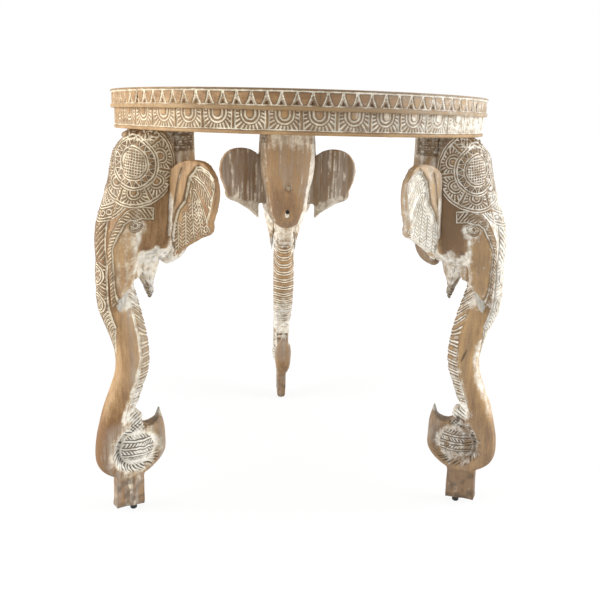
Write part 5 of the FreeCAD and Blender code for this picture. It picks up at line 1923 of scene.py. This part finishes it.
@dataclass
class Ear(LegPiece):
    """Swept-back ear with carved veins on its front."""

    root: Point = (212.0, 49.0)
    sweep: float = math.radians(22.0)
    stem_inner: Path = ((37.2, 40.9), (27.6, 51.6), (24.7, 64.1), (20.4, 79.9), (10.4, 91.3), (5.3, 105.6),
                        (2.7, 128.4))
    stem_front: Path = ((16.7, 42.2), (10.9, 59.0), (7.2, 75.9), (4.7, 97.2), (2.2, 118.8), (0.9, 149.3))
    rim: Path = ((37.0, 39.5), (44.5, 38.5), (57.5, 43.0), (65.5, 52.5), (66.3, 63.0), (61.2, 82.0),
                 (53.0, 106.0))
    veins: Tuple[Path, ...] = (((37.0, 41.0), (46.5, 44.0), (57.0, 50.0), (66.0, 57.0)),
                               ((33.0, 53.0), (46.0, 60.0), (60.0, 77.5)),
                               ((31.5, 68.0), (40.0, 81.0), (48.0, 99.0)))
    vein_lines: Point = (0.0, 3.0)
    vein_barb: float = 4.4
    columns: Tuple[Path, ...] = (((8.8, 103.0), (8.4, 140.0)), ((20.0, 91.0), (20.0, 136.0)),
                                 ((29.0, 80.0), (31.5, 129.0)), ((35.5, 76.5), (43.5, 123.0)))
    column_barb: float = 4.2
    flower: Point = (51.6, 110.0)
    flower_rings: Point = (2.0, 5.0)
    dish: float = 3.0
    corner_pull: float = 7.0
    root_gap: float = 1.9

    def flat(self, spots: Spots) -> Tuple[Array, Array, Array]:
        """Lays the blade out flat.

        Args:
            spots: Points and normals of the ear.
        Returns:
            Distance out from the root, drop, and how far the skin faces forward.
        """
        dr, dt = spots.r - self.root[0], spots.side * spots.t - self.root[1]
        sine, cosine = math.sin(self.sweep), math.cos(self.sweep)
        facing = spots.nr * cosine + spots.side * spots.nt * sine
        return dt * cosine - dr * sine, SIZE.apron_low - spots.z, facing

    def reshape(self, spots: Spots) -> Array:
        """Brings the root up to the head, dishes the blade and pulls its lower corner out.

        Args:
            spots: Points and normals.
        Returns:
            The shift.
        """
        shift = spots.shift()
        out, drop, _ = self.flat(spots)
        root = window(out, (-1.0, 0.0), (4.0, 0.0)) * (drop < 118.0)
        dish = self.dish * (ramp(8.0, 34.0, out) - 1.4 * ramp(34.0, 70.0, out))
        corner = self.corner_pull * window(drop, (98.0, 113.5), (124.0, 115.0)) * ramp(24.0, 44.0, out)
        shift[:, 0] = -dish - corner * math.sin(self.sweep)
        shift[:, 1] = spots.side * (corner * math.cos(self.sweep) - self.root_gap * root)
        return shift

    def seen(self, spots: Spots) -> Array:
        """Whole blade."""
        return self.flat(spots)[0] > -3.0

    def detailed(self, spots: Spots) -> Array:
        """Front of the blade."""
        out, _, facing = self.flat(spots)
        return (out > -3.0) & (facing > 0.2)

    def carve(self, spots: Spots) -> Relief:
        """Carves stem, veins, rim, hatched columns and a small flower.

        Args:
            spots: Points and normals.
        Returns:
            What was carved.
        """
        wood = Relief(len(spots.r))
        out, drop, facing = self.flat(spots)
        wander = flat_points(out, drop)
        out = out + wobble(wander, 11.0, 51, 1.0)
        drop = drop + wobble(wander, 11.0, 52, 1.0)
        stem, _ = along_path(out, drop, self.stem_inner)
        front, _ = along_path(out, drop, self.stem_front)
        rim, _ = along_path(out, drop, self.rim)
        panel = self.panel(stem, rim, out, drop)
        wood.raise_up(-ramp(0.0, 3.0, np.minimum(stem, -rim)) * panel, 1.6)
        wood.raise_up(window(stem, (-11.0, -4.0), (0.5, -3.0)) * (front > -1.0), 2.2)
        wood.line(stem, 1.6, 1.6, ramp(39.0, 36.0, out))
        wood.line(front, 1.3, 1.0, paint=0.35)
        for offset in self.vein_lines:
            wood.line(rim + offset, 1.1, 1.0, ramp(36.0, 39.0, out))
        high = panel * (drop < 112.0 - 0.22 * out)
        for vein in self.veins:
            gap, run = along_path(out, drop, vein)
            for offset in self.vein_lines:
                wood.line(gap - offset, 1.1, 1.2, panel)
            barb = repeat(run - 0.9 * np.abs(gap), self.vein_barb)
            wood.line(barb, 1.1, 1.0, high * (gap < -1.4) * (gap > -9.5))
        for column in self.columns:
            gap, run = along_path(out, drop, column)
            within = panel * (run > 0.5)
            wood.line(gap, 1.0, 1.0, within)
            barb = repeat(run - 0.8 * np.abs(gap), self.column_barb)
            wood.line(barb, 1.0, 1.0, within * (np.abs(gap) > 1.2) * (np.abs(gap) < 5.4))
        petal = np.hypot(out - self.flower[0], drop - self.flower[1])
        for ring in self.flower_rings:
            wood.line(petal - ring, 1.0, 0.9)
        wood.limit(ramp(0.3, 0.7, facing) * ramp(-2.0, 1.0, out))
        wood.raise_up(wobble(spots.table, 12.0, 53, 1.0), 0.7)
        return wood

    @staticmethod
    def panel(stem: Array, rim: Array, out: Array, drop: Array) -> Array:
        """Share of the sunk panel between the stem and the plain rim."""
        inside = (stem > 0.0) * (rim < 0.0) * (drop > 38.0)
        return inside * ramp(1.0, 3.0, 146.0 - 0.5 * out - drop) * ramp(65.5, 64.0, out)

    def tint(self, wood: Relief, spots: Spots, tone: LegTone) -> None:
        """Pale panel, brown rim and smeared back.

        Args:
            wood: Finish of the piece.
            spots: Points and normals.
            tone: How the leg was painted.
        """
        out, drop, facing = self.flat(spots)
        front = ramp(-0.5, 0.0, facing)
        back = 1.0 - front
        stem, _ = along_path(out, drop, self.stem_inner)
        rim, _ = along_path(out, drop, self.rim)
        panel = self.panel(stem, rim, out, drop) * front
        wood.tone += 0.45 * back + (0.1 - 0.5 * tone.strip) * front
        wood.wash = wood.wash + (0.08 + 0.2 * tone.strip) * front + 0.75 * tone.strip * panel
        wood.veil(0.9 * tone.strip * front)
        wood.reverse(tone.caked * panel)
        wood.cover(0.8 * ramp(9.0, 3.0, out) * front * ramp(60.0, 80.0, drop))
        smear = mottle(spots.drawn(0.25), 7.0, tone.seed + 7)
        threads = speckle(spots.drawn(0.06), 2.6, tone.seed + 8)
        wood.cover(back * (0.1 + 0.6 * ramp(0.5, 0.75, threads) * ramp(0.25, 0.55, smear)))
        wood.veil(back * (0.45 + 0.6 * smear))
        wood.cover(back * 0.7 * ramp(118.0, 128.0, drop + 0.3 * out + 16.0 * (smear - 0.5)))
        wood.darken(0.15 * back)


@dataclass
class Neck(LegPiece):
    """Neck block behind the head, with a carved collar under the apron."""

    collar: float = 477.0
    collar_lift: float = 1.2
    open_hole: float = 362.0
    back_half: Path = ((346.0, 26.0), (366.0, 33.0), (406.0, 39.0), (456.0, 44.0))

    def seen(self, spots: Spots) -> Array:
        """Skin behind the head."""
        return (spots.r < 206.0) & (spots.z < 499.0)

    def detailed(self, spots: Spots) -> Array:
        """Collar under the apron."""
        return self.seen(spots) & (spots.z > 462.0)

    def carve(self, spots: Spots) -> Relief:
        """Carves the collar and leaves the rest smooth with tool marks.

        Args:
            spots: Points and normals.
        Returns:
            What was carved.
        """
        wood = Relief(len(spots.r))
        around = np.arctan2(spots.t, 210.0 - spots.r) * 40.0
        over = spots.z - self.collar + 0.07 * np.abs(around)
        band = ramp(-0.5, 0.8, over) * ramp(30.0, 38.0, np.abs(around))
        wood.raise_up(band, self.collar_lift)
        Bricks().carve(wood, around, spots.z, band)
        wood.limit(ramp(208.0, 204.0, spots.r) * ramp(498.0, 496.0, spots.z))
        wood.raise_up(wobble(spots.drawn(0.3), 9.0, 61, 1.0), 0.9)
        return wood

    def tint(self, wood: Relief, spots: Spots, tone: LegTone) -> None:
        """Streaked brown back, pale sides and a white patch under the open hole.

        Args:
            wood: Finish of the piece.
            spots: Points and normals.
            tone: How the leg was painted.
        """
        r, t, z = spots.r, spots.t, spots.z
        streak = mottle(spots.drawn(0.1), 6.0, tone.seed + 9)
        patch = mottle(spots.table, 10.0, tone.seed + 10)
        threads = speckle(spots.drawn(0.05), 2.8, tone.seed + 11)
        low = ramp(430.0, 380.0, z + 30.0 * (streak - 0.5))
        golden = ramp(6.0, 30.0, t + 54.0 * low - 6.0)
        wood.tone += 0.3 * low
        wood.veil((0.25 + 0.6 * streak) * (1.0 - 0.75 * golden))
        wood.cover(0.12 + 0.36 * ramp(0.6, 0.85, threads) * (1.0 - 0.7 * golden))
        half = np.interp(z, *zip(*self.back_half))
        beyond = np.abs(t) - half + 7.0 + 3.0 * (patch - 0.5)
        wood.cover(tone.flank * ramp(-1.0, 1.0, beyond) * np.where(t < 0.0, 0.95, 0.5))
        wood.darken(0.3 * tone.flank * ramp(2.0, 4.0, beyond) * (t > 0.0))
        high = ramp(440.0, 478.0, z + 14.0 * (streak - 0.5))
        wood.cover((0.3 + 0.3 * streak + 0.35 * threads) * high)
        drip = np.hypot(1.2 * (t - 1.0), z - self.open_hole + 5.0)
        wood.cover(0.95 * ramp(6.5, 3.5, drip) * (r < 190.0))
        beside = ramp(192.0, 200.0, r + 5.0 * (patch - 0.5))
        wood.cover((0.5 + 0.45 * patch) * beside * ramp(340.0, 370.0, z))
        under = ramp(376.0, 352.0, z + 12.0 * (patch - 0.5)) * ramp(183.0, 190.0, r)
        wood.cover(tone.under * under)
        # Painted shade under the apron: darker towards the top.
        wood.darken(0.22 * ramp(440.0, 480.0, z) * ramp(176.0, 186.0, r))


@dataclass
class Tusk(LegPiece):
    """Pair of worn stubs that stick out under the sheaths."""

    seat: Point = (269.5, 310.6)
    widen: float = 0.6
    lean: float = 0.2
    flatten: float = 0.55
    lengthen: float = 0.55

    def reshape(self, spots: Spots) -> Array:
        """Draws each stub out to a flat leaf.

        Args:
            spots: Points and normals.
        Returns:
            The shift.
        """
        shift = spots.shift()
        below = np.maximum(self.seat[1] - spots.z, 0.0)
        away = np.maximum(np.abs(spots.t) - SIZE.half_plank, 0.0)
        shift[:, 0] = self.widen * (spots.r - self.seat[0]) * ramp(0.0, 6.0, below) + self.lean * below
        shift[:, 1] = -self.flatten * np.sign(spots.t) * away
        shift[:, 2] = -self.lengthen * below
        return shift

    def finish(self) -> Tuple[Slot, Material]:
        """Slot and material of the stubs."""
        return Slot.TUSK, self.finishes.tusk

    def carve(self, spots: Spots) -> Relief:
        """Leaves knife marks down the stubs.

        Args:
            spots: Points and normals.
        Returns:
            What was carved.
        """
        wood = Relief(len(spots.r))
        wood.raise_up(wobble(spots.drawn(0.25), 3.0, 95, 1.0), 0.8)
        return wood


def build_legs(finishes: Finishes) -> None:
    """Makes every carved piece of the three legs.

    Args:
        finishes: Finishes of the table.
    """
    cloth = HeadCloth(HeadSkin())
    Plank(finishes, "plank", 2.4, cloth=cloth).build()
    for side in ("left", "right"):
        Cheek(finishes, "cheek_" + side, 2.4, cloth=cloth).build()
        Ear(finishes, "ear_" + side, 2.0).build()
    Neck(finishes, "neck_block", 2.6).build()
    Tusk(finishes, "tusk_stubs", 1.2, rounds=2, plane_rounds=0).build()


@dataclass
class Stage:
    """Pale floor, soft light and the camera of the photograph."""

    focal: float = 42.1
    sensor: float = 36.0
    turn: float = -5.41
    pitch: float = 14.51
    roll: float = 1.5
    eye: Row = (0.0078, -0.9954, 0.5145)
    aim: Row = (0.0, 0.0, 0.3)
    floor_half: float = 30.0
    floor_glow: float = 0.86
    room_light: float = 0.44

    def build(self) -> None:
        """Makes the floor, the lamps, the world and the camera."""
        self.make_floor()
        self.make_world()
        self.lamp("left_soft_box", spot=(-2.3, -0.6, 1.1), size=1.6, power=58.0)
        self.lamp("right_soft_box", spot=(2.3, -0.5, 1.1), size=1.6, power=58.0)
        self.lamp("top_soft_box", spot=(0.1, -0.5, 2.3), size=1.8, power=14.0)
        self.make_camera()
        bpy.context.scene.view_settings.view_transform = "Standard"

    def lamp(self, name: str, spot: Sequence[float], size: float, power: float) -> None:
        """Adds one soft box that faces the table.

        Args:
            name: Name of the lamp.
            spot: Place of the lamp.
            size: Side of the box in metres.
            power: Power in watts.
        """
        data = bpy.data.lights.new(name, "AREA")
        data.size = size
        data.energy = power
        light = bpy.data.objects.new(name, data)
        light.location = spot
        light.rotation_euler = (Vector(self.aim) - Vector(spot)).to_track_quat("-Z", "Y").to_euler()
        bpy.context.scene.collection.objects.link(light)

    @staticmethod
    def plain_rays(desk: NodeDesk) -> Socket:
        """Share of rays that come from the camera, a mirror-like surface or glass.

        Args:
            desk: Desk of the floor or the world.
        Returns:
            The share.
        """
        rays = desk.add("ShaderNodeLightPath").outputs
        seen = desk.math("MAXIMUM", rays["Is Camera Ray"], rays["Is Glossy Ray"])
        return desk.math("MAXIMUM", seen, rays["Is Transmission Ray"])

    def make_floor(self) -> None:
        """Makes a wide white floor that keeps a soft shadow."""
        mesh = bpy.data.meshes.new("floor")
        half = self.floor_half
        mesh.from_pydata([(-half, -half, 0), (half, -half, 0), (half, half, 0), (-half, half, 0)], [],
                         [(0, 1, 2, 3)])
        floor = bpy.data.objects.new("floor", mesh)
        bpy.context.scene.collection.objects.link(floor)
        desk = NodeDesk(bpy.data.materials.new("white_floor"))
        matt = desk.add("ShaderNodeBsdfDiffuse", {"Color": (0.8, 0.8, 0.8, 1.0)})
        place = desk.add("ShaderNodeTexCoord").outputs["Object"]
        away = desk.add("ShaderNodeVectorMath", {0: place}, operation="LENGTH").outputs["Value"]
        far = desk.steps(desk.math("MULTIPLY", away, 0.1), (0.06, 0.0), (0.25, 1.0))
        strength = desk.math("MULTIPLY_ADD", far, 0.14, 1.03)
        glow = desk.add("ShaderNodeEmission", {"Color": (1.0, 1.0, 1.0, 1.0), "Strength": strength})
        share = desk.math("MULTIPLY", self.plain_rays(desk), self.floor_glow)
        blend = desk.add("ShaderNodeMixShader", {0: share, 1: matt.outputs[0], 2: glow.outputs[0]})
        desk.add("ShaderNodeOutputMaterial", {0: blend.outputs[0]})
        mesh.materials.append(desk.owner)

    def make_world(self) -> None:
        """Makes even light from all round, white where the camera sees it."""
        world = bpy.data.worlds.new("white_room")
        bpy.context.scene.world = world
        desk = NodeDesk(world)
        rays = self.plain_rays(desk)
        strength = desk.math("MULTIPLY_ADD", rays, 1.0 - self.room_light, self.room_light)
        light = desk.add("ShaderNodeBackground", {"Color": (1.0, 1.0, 1.0, 1.0), "Strength": strength})
        desk.add("ShaderNodeOutputWorld", {0: light.outputs[0]})

    def make_camera(self) -> None:
        """Makes the camera at the photograph's viewing angle."""
        data = bpy.data.cameras.new("camera")
        data.lens = self.focal
        data.sensor_width = self.sensor
        data.clip_start = 0.01
        camera = bpy.data.objects.new("camera", data)
        swing = Matrix.Rotation(math.radians(self.turn), 4, "Z")
        level = Matrix.Rotation(math.radians(90.0 - self.pitch), 4, "X")
        tilt = Matrix.Rotation(math.radians(self.roll), 4, "Z")
        shift = Matrix.Translation((0.0, SIZE.axis_y * MM, 0.0)) @ swing @ Matrix.Translation(self.eye)
        camera.matrix_world = shift @ level @ tilt
        bpy.context.scene.collection.objects.link(camera)
        bpy.context.scene.camera = camera


def dress_solids(finishes: Finishes) -> None:
    """Gives every solid that still shows its finish.

    Args:
        finishes: Finishes of the table.
    """
    by_slot = {Slot.WOOD.value: finishes.upright, Slot.BARE.value: finishes.bare,
               Slot.TUSK.value: finishes.tusk, Slot.STEEL.value: finishes.steel,
               Slot.GLIDE.value: finishes.glide}
    slots = {s["node"]: s["material_slot"] for s in frame["record"]["subparts"]}
    for name, node in frame["nodes"].items():
        if node.hide_render:
            continue
        node.data.materials.clear()
        finish = finishes.plug if name.endswith("plug") else by_slot[slots[name]]
        node.data.materials.append(finish)
        log.info("%s keeps its solid", name)


def main() -> None:
    """Builds the table and its stage."""
    logging.basicConfig(level=logging.INFO, format="%(message)s")
    finishes = Finishes()
    Top(finishes).build()
    Apron(finishes).build()
    build_legs(finishes)
    dress_solids(finishes)
    Stage().build()


if __name__ == "__main__":
    main()
